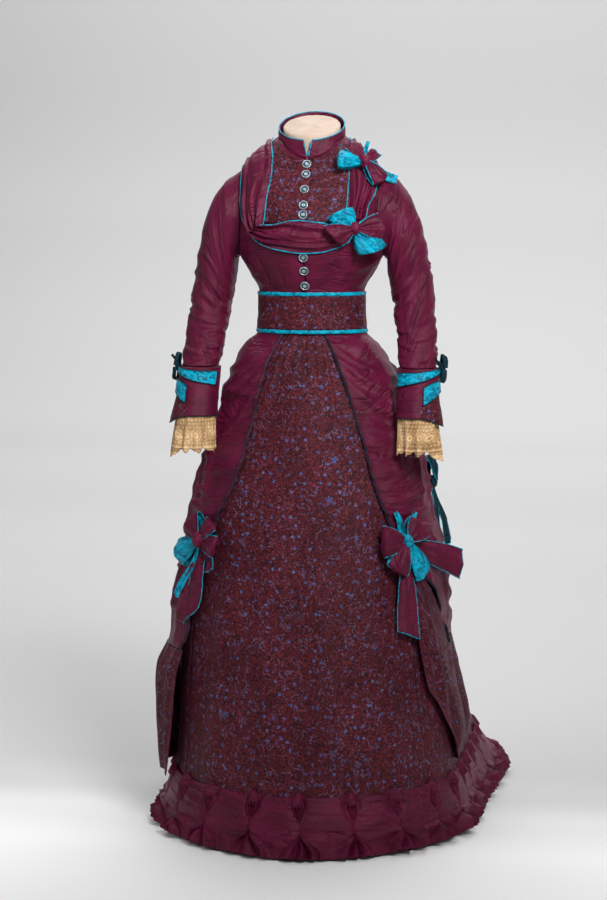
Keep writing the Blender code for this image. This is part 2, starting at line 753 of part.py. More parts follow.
def side_drapery():
    """The brocade drapery below the overskirt at each side. The left one also fills in front of its edge."""
    under = OVERSKIRT_BOTTOM - 2 * SEAM_GAP
    left = [TAIL_BOTTOM_LEFT, 0.180, 0.240, 0.290, under - 0.0015, under, 0.380, TAIL_LEFT_TOP]
    right = [mix(TAIL_BOTTOM_RIGHT, under, step / 6) for step in range(7)]
    for side, name, index, heights in ((1, "side_drape_left", 2, left), (-1, "side_drape_right", 1, right)):
        grid = []
        for h in heights:
            edge = math.radians(column(TAIL, h, index))
            back = TAIL_BACK_ANGLE
            if side > 0 and h >= under:
                back = math.radians(column(OPENING, h, index)) - SEAM_TURN
            row = [overskirt_point(side * turn, h) for turn in angle_steps(edge, back, 8)]
            grid.append(row if side > 0 else list(reversed(row)))
        sheet(name, grid, "brocade")


def hem_point(angle):
    half_width, front, back, sway, flare = HEM
    x, y = oval(angle, half_width, front, back)
    if math.cos(angle) < 0:
        x *= 1 + flare * math.cos(angle) ** 2
    return Vector((x + sway, y, HEM_HEIGHT))


def hem_angles(count):
    """Angles that part the hem into equal lengths, from the centre back round to the centre back."""
    fine = 1440
    angles = [-math.pi + 2 * math.pi * i / fine for i in range(fine + 1)]
    lengths = [0.0]
    for i in range(fine):
        lengths.append(lengths[-1] + (hem_point(angles[i + 1]) - hem_point(angles[i])).length)
    found = []
    at = 0
    for i in range(count + 1):
        goal = lengths[-1] * i / count
        while at < fine - 1 and lengths[at + 1] < goal:
            at += 1
        share = (goal - lengths[at]) / (lengths[at + 1] - lengths[at])
        found.append(mix(angles[at], angles[at + 1], share))
    return found


def flounce_point(angle, phase, t):
    """A point of the flounce: t runs from its top to its hem, and phase is 0 at a cluster."""
    top = moved_out(skirt_point, angle, FLOUNCE_TOP, FLOUNCE_TOP_OFF)
    hem = hem_point(angle)
    out = (hem - top)
    out.z = 0
    out.normalize()
    wave = 0.5 + 0.5 * math.cos(2 * math.pi * phase)
    fan = 0.5 - 0.5 * math.cos(4 * math.pi * phase)
    swell = 0.004 * wave * (1 - t) + 0.013 * fan * t + 0.004 * wave * t
    belly = 0.012 * math.sin(math.pi * t) * (1 - wave)
    lift = 0.004 * wave * t
    return top.lerp(hem, t) + out * (swell + belly) + Vector((0, 0, lift))


def flounce():
    count = FLOUNCE_CLUSTERS * CLUSTER_STEPS
    angles = hem_angles(count)
    cuts = (("back_right", 0, 7), ("right", 7, 12), ("front", 12, 18), ("left", 18, 23), ("back_left", 23, 30))
    gap = 0.004
    for name, first, last in cuts:
        places = list(range(first * CLUSTER_STEPS, last * CLUSTER_STEPS + 1))
        grid = []
        for t in reversed(FLOUNCE_ROWS):
            row = []
            for number, i in enumerate(places):
                shift = gap if number == 0 else (-gap if number == len(places) - 1 else 0.0)
                near = min(max(i + (1 if shift > 0 else -1 if shift < 0 else 0), 0), count)
                angle = mix(angles[i], angles[near], abs(shift))
                row.append(flounce_point(angle, i / CLUSTER_STEPS + 0.5, t))
            grid.append(row)
        sheet(f"flounce_{name}", grid, "plum_silk")


def frame_at(place, outwards):
    """A bow's own frame: X across, Y up, Z out."""
    out = outwards.normalized()
    across = Vector((0, 0, 1)).cross(out).normalized()
    up = out.cross(across)
    turn = Matrix((across, up, out)).transposed().to_4x4()
    return Matrix.Translation(place) @ turn


def petal(kind, frame, degrees, length, width, rise, height):
    """A ribbon loop or a flat ribbon end, as a grid of middle points in the bow's frame."""
    turn = math.radians(degrees)
    along = Vector((math.cos(turn), math.sin(turn), 0))
    aside = Vector((-math.sin(turn), math.cos(turn), 0))
    root = 0.004
    grid = []
    steps = 6 if kind == "loop" else 3
    for i in range(steps + 1):
        s = i / steps
        if kind == "loop":
            reach = mix(root, length, math.sin(math.pi * s))
            z = height + rise * (1 - math.cos(math.pi * s)) / 2
            spread = 0.40 + 0.60 * math.sin(math.pi * s)
        else:
            reach = mix(root, length, s)
            z = height + rise * s
            spread = 0.45 + 0.55 * smooth_step(s * 2.2)
        grid.append([frame @ (along * reach + aside * (width / 2 * spread * side)
                              + Vector((0, 0, z))) for side in (-1, 1)])
    return grid


def bow(name, fabric, place, outwards, knot, petals):
    """A bow as one solid: ribbon petals joined to a knot by a union."""
    frame = frame_at(place, outwards)
    mesh = bpy.data.meshes.new(name)
    shape = bmesh.new()
    size = Matrix.Diagonal((knot[0], knot[1], knot[2], 1))
    at = Matrix.Translation((0, 0, knot[2] + SEAM_GAP))
    bmesh.ops.create_uvsphere(shape, u_segments=8, v_segments=5, radius=1.0, matrix=frame @ at @ size)
    shape.to_mesh(mesh)
    shape.free()
    made = bpy.data.objects.new(name, mesh)
    made.data.materials.append(material(fabric))
    PARTS.objects.link(made)
    for number, (kind, degrees, length, width, rise, height) in enumerate(petals):
        grid = petal(kind, frame, degrees, length, width, rise, height + 0.0009 * number)
        ribbon = sheet(f"{name}_petal_{number}", grid, fabric, wall=0.0014,
                       middle=True, collection=CUTTERS)
        ribbon.hide_render = True
        ribbon.display_type = "WIRE"
        join = made.modifiers.new(f"Petal {number}", "BOOLEAN")
        join.operation = "UNION"
        join.object = ribbon
    return made


def surface_place(surface, degrees, height, distance):
    return moved_out(surface, math.radians(degrees), height, distance)


def facing(degrees, tilt=0.0):
    """A level direction at an angle round the body, tipped up by tilt degrees."""
    angle = math.radians(degrees)
    rise = math.sin(math.radians(tilt))
    flat = math.cos(math.radians(tilt))
    return Vector((math.sin(angle) * flat, -math.cos(angle) * flat, rise))


def bows():
    small = (0.0085, 0.0110, 0.0075)
    upper = surface_place(torso_point, 53, 1.2980, 0.0093)
    bow("bow_upper_plum", "plum_silk", upper, facing(38, 25), small, (
        ("loop", -25, 0.040, 0.028, 0.010, 0.002),
        ("tail", -62, 0.050, 0.022, 0.004, 0.003),
        ("tail", 120, 0.028, 0.018, 0.002, 0.003),
    ))
    bow("bow_upper_teal", "teal_satin", upper + facing(38, 25) * 0.0158, facing(38, 25), (0.006, 0.006, 0.003), (
        ("loop", 185, 0.042, 0.024, 0.004, 0.002),
        ("tail", -45, 0.046, 0.020, 0.003, 0.002),
    ))
    lower = surface_place(torso_point, 37, 1.1690, 0.0082)
    bow("bow_lower_plum", "plum_silk", lower, facing(24, 4), (0.0090, 0.0100, 0.0075), (
        ("loop", 200, 0.046, 0.026, 0.010, 0.002),
        ("loop", 15, 0.046, 0.028, 0.010, 0.002),
    ))
    bow("bow_lower_teal", "teal_satin", lower + facing(24, 4) * 0.0158, facing(24, 4), (0.006, 0.006, 0.003), (
        ("loop", 150, 0.046, 0.024, 0.004, 0.002),
        ("tail", -50, 0.054, 0.028, 0.003, 0.002),
    ))
    hip = (0.0110, 0.0130, 0.0090)
    right = surface_place(overskirt_point, -51, 0.5630, -0.0026)
    bow("bow_hip_right_plum", "plum_silk", right, facing(-46, 11), hip, (
        ("loop", 128, 0.058, 0.040, 0.012, 0.003),
        ("loop", 60, 0.038, 0.028, 0.012, 0.003),
        ("loop", -60, 0.040, 0.026, 0.012, 0.003),
        ("tail", 262, 0.168, 0.042, 0.008, 0.004),
    ))
    bow("bow_hip_right_teal", "teal_satin", right + facing(-46, 11) * 0.0188, facing(-46, 11), (0.007, 0.007, 0.004), (
        ("loop", 195, 0.076, 0.034, 0.005, 0.003),
        ("tail", 240, 0.130, 0.018, 0.003, 0.003),
    ))
    left = surface_place(overskirt_point, 52, 0.5680, -0.0016)
    bow("bow_hip_left_plum", "plum_silk", left, facing(46, 10), hip, (
        ("loop", 175, 0.056, 0.046, 0.012, 0.003),
        ("loop", 40, 0.050, 0.036, 0.012, 0.003),
        ("loop", 232, 0.066, 0.036, 0.012, 0.003),
        ("tail", -14, 0.150, 0.052, 0.002, 0.004),
        ("tail", 273, 0.160, 0.044, 0.002, 0.004),
    ))
    bow("bow_hip_left_teal", "teal_satin", left + facing(46, 10) * 0.0188, facing(46, 10), (0.009, 0.009, 0.004), (
        ("tail", 118, 0.046, 0.012, 0.003, 0.002),
        ("tail", 62, 0.046, 0.012, 0.003, 0.002),
        ("loop", -62, 0.064, 0.040, 0.005, 0.003),
    ))
    back = surface_place(overskirt_point, 103, 0.6600, 0.0001)
    bow("bow_back", "dark_satin", back, facing(98, 13), (0.009, 0.012, 0.008), (
        ("loop", 100, 0.056, 0.026, 0.012, 0.003),
        ("loop", 72, 0.052, 0.022, 0.012, 0.003),
        ("tail", 286, 0.130, 0.034, 0.008, 0.004),
        ("tail", 252, 0.120, 0.030, 0.002, 0.004),
    ))
    for side, name in ((1, "cuff_bow_left"), (-1, "cuff_bow_right")):
        place = cuff_point(math.radians(-12), 0.03, 0.0030)
        place = hung([[place if side > 0 else Vector((-place.x, place.y, place.z))]], side)[0][0]
        bow(name, "dark_satin", place, Vector((side, -0.10, 0.1)), (0.006, 0.008, 0.0055), (
            ("loop", 80, 0.022, 0.014, 0.006, 0.002),
            ("loop", 262, 0.024, 0.016, 0.006, 0.002),
        ))


clear_scene()
PARTS = new_collection("Afternoon dress")
CUTTERS = new_collection("Bow petals", hidden=True)
dress_form()
bodice()
vest()
collar()
buttons()
drapery()
belt()
sleeves()
cuffs()
lace_frills()
underskirt()
overskirt()
side_drapery()
flounce()
bows()
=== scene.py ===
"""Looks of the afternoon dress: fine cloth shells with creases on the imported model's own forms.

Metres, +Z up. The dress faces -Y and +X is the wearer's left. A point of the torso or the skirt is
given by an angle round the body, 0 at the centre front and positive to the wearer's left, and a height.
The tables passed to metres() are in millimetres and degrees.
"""

import math

import bpy
import numpy as np
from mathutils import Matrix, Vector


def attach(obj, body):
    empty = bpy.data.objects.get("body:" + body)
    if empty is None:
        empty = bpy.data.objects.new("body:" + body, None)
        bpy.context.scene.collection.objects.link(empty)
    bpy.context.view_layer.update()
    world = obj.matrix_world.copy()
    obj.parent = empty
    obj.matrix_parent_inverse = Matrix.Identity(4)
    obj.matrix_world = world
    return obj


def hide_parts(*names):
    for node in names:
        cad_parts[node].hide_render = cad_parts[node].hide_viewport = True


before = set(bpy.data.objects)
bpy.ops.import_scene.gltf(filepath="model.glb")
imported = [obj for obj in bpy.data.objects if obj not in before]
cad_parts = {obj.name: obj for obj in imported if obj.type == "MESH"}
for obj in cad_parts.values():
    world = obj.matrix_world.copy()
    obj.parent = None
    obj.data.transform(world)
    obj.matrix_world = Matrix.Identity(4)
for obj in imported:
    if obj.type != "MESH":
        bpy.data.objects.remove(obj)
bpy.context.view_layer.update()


def metres(rows, *others):
    """A table in metres from one in millimetres. The columns in others are no lengths and stay."""
    return tuple(tuple(v if i in others else v / 1000 for i, v in enumerate(row)) for row in rows)


# Camera
CAMERA_AZIMUTH = math.radians(8.5)
CAMERA_DISTANCE = 4.5
CAMERA_HEIGHT = 1.2
CAMERA_PITCH = math.radians(2.57)
CAMERA_LENS = 91.3
CAMERA_SHIFT = (-0.0094, -0.150)

# Cloth
CLOTH_WALL = 0.0009
RIBBON_WALL = 0.0006
LACE_WALL = 0.0006
SEAM_TURN = 0.0016
SEAM_DEPTH = 0.0008
SEAM_WIDTH = 0.0022
LAYER_LIFT = 0.0026
PIPING = 0.0013
THIN_PIPING = 0.0009
PIPING_SIDES = 6
PIPING_TIP = 0.05
PIPING_START = (0.31, 0.52, 0.79)
EDGE_LIFT = 0.0006

# Torso rings. Columns: level, front rise, back rise, half width, front, back.
TORSO = metres((
    (955, 0, 0, 108, 86, 83), (985, 0, 0, 104, 83, 79), (1010, 0, 0, 103.2, 82, 77),
    (1045, 0, 0, 104, 85, 78), (1075, 0, 0, 118.5, 98, 83), (1105, 0, 0, 136, 109, 88),
    (1140, 0, 0, 148, 116, 92), (1180, -2, 0, 151.5, 116, 95), (1220, -6, 2, 151, 108, 96),
    (1250, -12, 6, 148, 97, 94), (1275, -18, 10, 141, 86, 89), (1300, -26, 13, 125, 75, 81),
    (1325, -35, 14, 98.5, 66, 71), (1350, -45, 12, 66.5, 58, 60),
))
BUST_ANGLE = math.radians(30)
BUST_SPREAD = math.radians(17)
BUST_LEVEL = 1.145
BUST_HEIGHT = 0.04
BUST_RISE = 0.006
NECK_LEVEL = 1.350
BODICE_BOTTOM = 0.9865

# Skirt rings. Columns: height, half width, front, back, sway, train flare.
SKIRT = metres((
    (985, 103, 82, 78, 0, 0), (965, 104, 83, 80, 0, 0), (940, 123, 93, 102, 0, 0),
    (900, 145, 108, 140, 0, 0), (850, 166, 123, 180, 0, 0), (780, 186, 140, 215, 0, 0),
    (700, 207, 158, 245, 0, 0), (600, 228, 181, 280, 0, 0.05), (500, 242, 204, 320, 0, 0.12),
    (400, 253, 226, 365, 0, 0.2), (300, 262, 247, 430, 1, 0.3), (200, 270, 268, 520, 6, 0.45),
    (120, 278, 284, 600, 10, 0.7), (30, 288, 296, 650, 14, 0.9),
), 5)
SKIRT_TOP = 0.985
SKIRT_BOTTOM = 0.020
SKIRT_FRONT_SEAM = math.radians(58)
SKIRT_BACK_SEAM = math.radians(120)

# The overskirt's distance from the skirt. Columns: height, right, left, back.
STAND_OFF = metres((
    (985, 2.6, 2.6, 2.6), (965, 3, 3, 3), (940, 8, 8, 16), (900, 12, 12, 40),
    (850, 12.5, 12.5, 52), (800, 8, 8, 54), (745, 9.5, 9.5, 56), (600, 14.5, 16, 50),
    (500, 20, 20, 44), (410, 24.5, 16, 38), (350, 29, 13, 32), (300, 40, 12, 28),
    (233, 35, 11, 20), (145, 28, 9, 12), (100, 26, 8, 10),
))

# The front edge of the overskirt in degrees. Columns: height, right, left.
OPENING = metres((
    (985, 22, 17), (955, 25.9, 20.7), (921, 28.3, 24.5), (877, 29.8, 28.5), (801, 31.8, 33.8),
    (760, 33.1, 36.6), (690, 36.1, 39.2), (645, 40.1, 42.3), (606, 45.3, 45.7), (525, 50, 54),
    (485, 52, 66), (380, 54, 86), (350, 56, 92),
), 1, 2)
OVERSKIRT_BOTTOM = 0.350
OVERSKIRT_BACK_BOTTOM = 0.290
BACK_SEAM_ANGLE = math.radians(118)
BACK_SWAG_HEIGHT = 0.010
BACK_PUFF_HEIGHT = 0.0070

# The front edge of the side draperies in degrees. Columns: height, right, left.
TAIL = metres((
    (520, 50, 50), (480, 50, 55), (430, 52, 56), (366, 54, 58), (284, 55, 62), (258, 56, 67),
    (196, 59, 76), (147, 62, 82), (103, 64, 88),
), 1, 2)
TAIL_LEFT_TOP = 0.520
TAIL_BOTTOM_RIGHT = 0.103
TAIL_BOTTOM_LEFT = 0.130
TAIL_BACK_ANGLE = math.radians(117)

# Armhole
ARMHOLE_LEVEL = 1.200
ARMHOLE_HALF_HEIGHT = 0.085
ARMHOLE_FRONT = math.radians(28)
ARMHOLE_BACK = math.radians(26)

# Sleeve rings of the wearer's left arm. Columns: x, y, z, tilt, across, depth.
SLEEVE = metres((
    (161, 4, 1186, 82, 78.5, 60), (171, 5, 1161, 75, 78.8, 60),
    (183, 6, 1127.5, 65, 69, 58), (192, 8, 1087.5, 54, 58.7, 55),
    (199.8, 10, 1042.5, 41, 49.8, 50), (205, 11, 991.5, 23, 41.9, 46),
    (208.8, 10, 942.5, 10, 39.5, 43), (210.8, 9, 900.5, 0, 38.3, 41),
), 3)
CUFF = metres((
    (211, 9, 898.8, 0, 40.5, 43), (211, 8, 870, 0, 41, 43), (210.8, 6, 838, 0, 41.5, 43),
    (210.6, 4, 806, 0, 42, 43),
), 3)
CUFF_DEPTH = 0.093
CUFF_TIP_DROP = 0.016
CUFF_TIP_OUT = 0.009
SLEEVE_BEND_TOP = 1.080
SLEEVE_BEND_BOTTOM = 0.740
SLEEVE_FORWARD = 0.100
SLEEVE_LEFT_OUT = 0.008
SLEEVE_RIGHT_OUT = 0.006
LACE_TOP = 0.8110
LACE_BOTTOM = 0.7390
LACE_TOP_RADIUS = 0.0380
LACE_HEM_RADIUS = 0.0400
LACE_DEPTH = 0.0010
LACE_WAVES = 9
LACE_MIDDLE = 0.2106
LACE_SCALLOP = 0.0042

# Straps of the cuff. Columns: turn in degrees, top edge down the cuff, lower edge.
UPPER_STRAP = ((-30, 0.00, 0.09), (0, 0.01, 0.10), (30, 0.02, 0.16), (60, 0.05, 0.24), (90, 0.08, 0.31),
               (120, 0.09, 0.36), (150, 0.10, 0.40))
LOWER_STRAP = ((-20, 0.30, 0.46), (10, 0.28, 0.52), (40, 0.30, 0.62), (70, 0.40, 0.74))

# Belt rings. Columns: height, half width, front, back.
BELT = metres((
    (965, 109.8, 89, 86.8), (985, 108.5, 87.5, 83.5), (1005, 106.6, 85.4, 81),
    (1045.5, 107, 88, 80.5),
))
BELT_EDGE = 0.0074
BELT_EDGE_RISE = 0.0006

COLLAR_TOP = (0.0650, 0.0575, 0.0590)
COLLAR_FRONT_Z = 1.340
COLLAR_BACK_Z = 1.400
COLLAR_NOTCH = math.radians(7.5)

# A button's profile from its centre behind to its centre in front: radius and height in millimetres.
BUTTON_PROFILE = (
    (0.0, 0.0), (7.6, 0.0), (8.8, 0.5), (9.0, 1.4), (8.7, 2.7), (8.0, 3.4), (7.2, 3.3), (6.7, 2.5),
    (6.2, 1.9), (5.4, 1.8), (4.6, 2.4), (3.4, 2.9), (2.2, 3.2), (1.2, 3.0), (0.5, 2.6), (0.02, 2.5),
)
FACETS = 8
FACET_DEPTH = 0.16

# The rings painted dark as painted shade in the sunk ring, and each button's level and distance from the
# torso.
BUTTON_PAINTED_SHADE = (7, 11)
BUTTONS = metres((
    (1328, 2.9), (1297, 2.9), (1256, 2.9), (1219, 2.9), (1198.5, 2.9), (1114, 0.8),
    (1088, 0.3), (1060, 1.9),
))

# Vest edges in degrees. Columns: level, right, left.
VEST = metres((
    (1180, 40, 42), (1220, 44, 44), (1260, 46, 48), (1300, 54, 58), (1345, 66, 68),
), 1, 2)
VEST_BOTTOM = 1.182
VEST_TOP = 1.345

# Shoulder drapery. Columns: inner angle, inner level, outer angle, outer level.
RIGHT_BAND = metres((
    (-86, 1344, -87, 1298), (-60, 1336, -78, 1286), (-43.6, 1324, -68, 1272),
    (-31, 1290, -62.5, 1248), (-29, 1264, -60, 1226), (-29.6, 1219, -57.5, 1202),
    (-30, 1195, -52, 1178), (-31, 1176, -46, 1160),
), 0, 2)
SWAG_BAND = metres((
    (-35, 1176, -46, 1159), (-21.9, 1178, -30.6, 1137), (-11.5, 1184.5, -17.7, 1128.7),
    (-2, 1186.7, 0, 1122.5), (8.2, 1183.5, 12.4, 1123.8), (18.7, 1180.4, 24.5, 1131.4),
    (29, 1179, 36, 1144),
), 0, 2)
LEFT_BAND = metres((
    (86, 1344, 87, 1305), (62, 1330, 78, 1288), (45, 1308, 68, 1270),
    (37.8, 1289, 62.5, 1252), (33.5, 1251, 58.5, 1236), (32.1, 1212, 52, 1217),
    (31, 1186, 49, 1188),
), 0, 2)
BAND_PLEATS = 3
BAND_PLEAT_DEPTH = 0.0064
BAND_LIFT = 0.0050
SWAG_LIFT = 0.0044

# Flounce. Columns of HEM: half width, front, back, sway, train flare.
HEM = (0.331, 0.325, 0.720, 0.016, 0.90)
HEM_HEIGHT = 0.0030
FLOUNCE_TOP = 0.110
FLOUNCE_TOP_OFF = 0.0025
FLOUNCE_CLUSTERS = 30
FLOUNCE_DEPTH = 0.13
GATHER_SPACING = 0.105
FLOUNCE_CUTS = (
    ("back_right", 0, 7), ("right", 7, 12), ("front", 12, 18), ("left", 18, 23), ("back_left", 23, 30),
)

# The flounce's gathers. Columns: place round the hem in gathers from the centre back, size, lean.
GATHERS = (
    (0.5, 1.5, 0.1), (1.5, 1.2, -0.2), (2.5, 1.4, 0.1), (3.5, 1.6, 0.2), (4.5, 1.3, -0.1), (5.5, 1.5, 0.0),
    (6.5, 1.4, 0.2), (7.5, 1.2, -0.2), (8.6, 1.3, 0.1), (9.7, 1.2, 0.0), (10.7, 1.3, 0.2), (11.8, 1.2, 0.3),
    (12.84, 0.9, -0.2), (14.02, 0.8, 0.3), (15.09, 1.0, -0.2), (16.24, 0.8, -0.3), (17.33, 1.5, 0.0),
    (18.47, 1.4, 0.3), (19.42, 1.8, -0.3), (20.4, 1.5, 0.2), (21.4, 1.4, -0.2), (22.4, 1.5, 0.1),
    (23.4, 1.4, 0.0), (24.4, 1.6, -0.1), (25.4, 1.3, 0.2), (26.4, 1.5, -0.2), (27.4, 1.4, 0.1),
    (28.45, 1.6, 0.0), (29.5, 1.2, -0.2),
)
BOW_ROOT = 0.0046
RIBBON_PLEAT = 0.0026
RIBBON_BEND = 0.0022
TAIL_WAVE = 0.0035
GATHER_GROOVES = (-0.105, -0.048, 0.006, 0.056, 0.112)
FINE_PLACES = (11.2, 21.9)
SIDE_DRAW = (0.038, 0.023)
FLOUNCE_GAP = 0.0010
HEM_CLEARANCE = 0.0024

# The flounce's forms in metres, with the widths in gathers: the cloth between two gathers, the puff above
# a gather with its hollows, the grooved stalk, the pinch below it, the fan, and the roll between two fans.
FLOUNCE_BELLY = 0.010
FLOUNCE_FLARE = 0.0080
PUFF_HEIGHT = 0.011
PUFF_WIDTH = 0.095
HOLLOW_DEPTH = 0.0045
STALK_HEIGHT = 0.0065
STALK_WIDTH = 0.125
GROOVE_DEPTH = 0.0062
GROOVE_WIDTH = 0.017
PINCH_DEPTH = 0.0050
GATHER_PULL = 0.016
FAN_FOLD = 0.0105
FAN_HEIGHT = 0.0070
ROLL_HEIGHT = 0.0058

FORM_BOTTOM = 0.860
FORM_LEVELS = (0.900, 0.940, 0.965, 0.9845, 1.010, 1.045, 1.075, 1.095, 1.130, 1.160,
               1.200, 1.240, 1.270, 1.300, 1.325)
FORM_WAIST_INSET = 0.0026
FORM_INSET = 0.0050
FORM_BACK_SHARE = 0.86
FORM_NECK = (0.0565, 0.0490, 0.0510)
NECK_TOP_FRONT = 1.3495
NECK_TOP_BACK = 1.3955

# The top of the neck. Columns: drop below its edge, scale.
NECK_CAP = (
    (0.0030, 0.992), (0.0012, 0.965), (0.0002, 0.920), (-0.0004, 0.700), (-0.0008, 0.400), (-0.0010, 0.02),
)

# Creases. Columns: start across, start up, end across, end up, sag, width, height.
# Across is in degrees round the body or the sleeve, and up is a height or the way down the sleeve.
BODICE_FRONT_CREASES = {
    "left": metres((
        (23, 1046, 26, 1108, 0, 2.6, -1.6), (43, 1046, 45, 1122, 0, 2.6, -1.6),
        (26, 1062, 62, 1080, 2, 4, 1.4), (30, 1082, 70, 1104, 2, 4.5, 1.5),
        (47, 1056, 80, 1064, 2, 3.5, 1.3), (8, 1058, 22, 1064, 1, 3.5, 1.1),
        (60, 1150, 84, 1118, 2, 5, 2), (56, 1190, 66, 1150, 0, 5, 1.8),
        (62, 1262, 78, 1292, 0, 5, 1.6),
    ), 0, 2),
    "right": metres((
        (21, 1046, 24, 1100, 0, 2.6, -1.6), (39, 1046, 42, 1124, 0, 2.6, -1.7),
        (9, 1064, 32, 1056, 1, 4, 1.2), (34, 1068, 60, 1060, 2, 4, 1.4),
        (44, 1092, 76, 1076, 2, 4.5, 1.6), (58, 1140, 84, 1108, 2, 5, 1.9),
        (55, 1182, 64, 1144, 0, 5, 1.8),
    ), 0, 2),
}
BODICE_BACK_CREASES = {
    "left": metres((
        (152, 1045, 142, 1130, 0, 2.6, -1.4), (142, 1130, 122, 1215, 0, 2.6, -1.2),
        (128, 1045, 120, 1120, 0, 2.6, -1.2), (132, 1070, 168, 1084, 2, 4.5, 1.3),
        (112, 1100, 146, 1072, 2, 4.5, 1.4), (120, 1250, 150, 1290, 2, 6, 1.4),
    ), 0, 2),
    "right": metres((
        (153, 1045, 143, 1134, 0, 2.6, -1.4), (143, 1134, 123, 1212, 0, 2.6, -1.2),
        (127, 1045, 121, 1116, 0, 2.6, -1.2), (130, 1086, 164, 1066, 2, 4.5, 1.4),
        (114, 1076, 140, 1096, 2, 4.5, 1.3), (124, 1262, 156, 1276, 2, 6, 1.3),
    ), 0, 2),
}
SLEEVE_CREASES = {
    "left": metres((
        (40, 52, 120, 94, 0, 6.5, 2.2), (10, 90, 84, 118, 0, 6, 1.8),
        (60, 140, 170, 124, 0, 5.5, 2.6), (40, 156, 150, 166, 0, 5, 2.4),
        (80, 184, 190, 168, 0, 4.8, 2.6), (20, 192, 130, 204, 0, 4.6, 2.6),
        (70, 222, 176, 206, 0, 4.2, 2.4), (30, 232, 120, 240, 0, 4.2, 2.6),
        (60, 256, 160, 248, 0, 3.8, 2.4), (10, 266, 100, 274, 0, 3.8, 2.4),
        (50, 288, 150, 280, 0, 3.6, 2.4), (20, 300, 110, 304, 0, 3.4, 2),
        (70, 316, 160, 312, 0, 3.4, 2), (200, 150, 330, 176, 0, 5.5, 2.4),
        (210, 206, 320, 190, 0, 4.8, 2.4), (190, 244, 300, 256, 0, 4.2, 2.4),
        (220, 290, 340, 278, 0, 3.8, 2.2), (116, 0, 118, 340, 0, 1.5, -1.2),
        (262, 0, 258, 340, 0, 1.5, -1),
    ), 0, 2),
    "right": metres((
        (36, 60, 128, 86, 0, 6.5, 2.2), (14, 102, 96, 108, 0, 6, 1.8),
        (50, 132, 160, 142, 0, 5.5, 2.6), (70, 166, 180, 152, 0, 5, 2.6),
        (20, 178, 126, 186, 0, 4.8, 2.4), (60, 206, 170, 194, 0, 4.6, 2.6),
        (16, 218, 112, 226, 0, 4.2, 2.4), (64, 244, 164, 234, 0, 4.2, 2.6),
        (30, 258, 116, 264, 0, 3.8, 2.2), (72, 280, 170, 270, 0, 3.8, 2.4),
        (14, 292, 104, 296, 0, 3.6, 2.4), (58, 312, 150, 306, 0, 3.4, 2),
        (196, 160, 320, 148, 0, 5.5, 2.4), (214, 214, 330, 222, 0, 4.8, 2.4),
        (190, 266, 300, 252, 0, 4.2, 2.4), (116, 0, 118, 340, 0, 1.5, -1.2),
        (262, 0, 258, 340, 0, 1.5, -1),
    ), 0, 2),
}
SKIRT_FRONT_CREASES = metres((
    (-12, 960, -16, 900, 0, 5, 2.4), (-5, 962, -7, 880, 0, 5.5, 2.2),
    (3, 962, 4, 890, 0, 4.5, 2.6), (9, 960, 13, 870, 0, 5.5, 2.4),
    (-19, 955, -27, 800, 0, 8, 2.6), (16, 955, 22, 760, 0, 9, 2.6),
    (-34, 560, -38, 130, 0, 24, 5), (-12, 440, -14, 130, 0, 26, 3.4),
    (12, 500, 15, 130, 0, 28, 4), (36, 520, 42, 130, 0, 24, 4.6),
    (2, 700, 0, 300, 0, 30, -2.6),
), 0, 2)
OVERSKIRT_CREASES = {
    "right": metres((
        (27, 950, 62, 872, 6, 6, 4), (28, 934, 74, 822, 10, 7, 4.4),
        (30, 905, 88, 742, 16, 8, 4.6), (32, 868, 72, 700, 10, 7.5, 3.4),
        (31, 842, 44, 826, 2, 3.6, 2.2), (33, 800, 46, 790, 2, 3.6, 2.2),
        (34, 762, 47, 748, 2, 3.6, 2), (36, 716, 52, 700, 2, 4, 2.4),
        (70, 850, 60, 640, 0, 12, 5.6), (84, 810, 70, 610, 0, 11, 5),
        (100, 800, 82, 580, 0, 13, 6), (48, 640, 70, 680, 4, 5, 4.6),
        (50, 612, 78, 634, 6, 5.5, 5), (50, 580, 84, 585, 8, 6, 5.2),
        (52, 552, 82, 535, 6, 5.5, 4.6), (56, 530, 66, 370, 0, 9, 5),
        (68, 530, 80, 370, 0, 10, 5.6), (86, 560, 96, 370, 0, 11, 6),
        (104, 600, 110, 370, 0, 12, 6),
    ), 0, 2),
    "left": metres((
        (24, 945, 58, 890, 5, 6, 3.8), (26, 918, 72, 840, 10, 7, 4.4),
        (29, 880, 84, 776, 14, 8, 4.4), (33, 846, 50, 836, 2, 3.8, 2.4),
        (34, 806, 50, 798, 2, 3.6, 2.4), (36, 770, 54, 762, 2, 3.8, 2.6),
        (38, 732, 56, 728, 2, 3.8, 2.4), (40, 694, 62, 700, 3, 4.2, 3.2),
        (42, 668, 72, 690, 5, 4.6, 4.4), (43, 646, 80, 660, 6, 5, 4.8),
        (45, 626, 86, 628, 8, 5.2, 5.2), (47, 604, 90, 592, 8, 5.6, 5),
        (66, 850, 58, 700, 0, 12, 5), (84, 830, 74, 640, 0, 12, 5.6),
        (104, 800, 90, 600, 0, 13, 6), (62, 540, 74, 420, 0, 9, 4.6),
        (78, 570, 96, 400, 0, 10, 5.6), (96, 590, 108, 370, 0, 11, 5.8),
    ), 0, 2),
}
OVERSKIRT_BACK_CREASES = metres((
    (122, 930, 238, 920, 50, 12, 8), (124, 880, 236, 872, 60, 13, 9),
    (122, 820, 238, 826, 64, 14, 10), (124, 762, 236, 756, 62, 14, 10),
    (122, 700, 238, 706, 60, 14, 9.6), (124, 640, 236, 632, 56, 14, 9.2),
    (122, 580, 238, 588, 52, 14, 9), (124, 520, 236, 512, 46, 13, 8.6),
    (122, 455, 238, 462, 40, 13, 8), (124, 395, 236, 388, 36, 12, 7.2),
    (130, 850, 160, 560, 0, 10, -6), (230, 860, 202, 540, 0, 10, -6),
    (180, 900, 178, 320, 0, 7, -5),
), 0, 2)
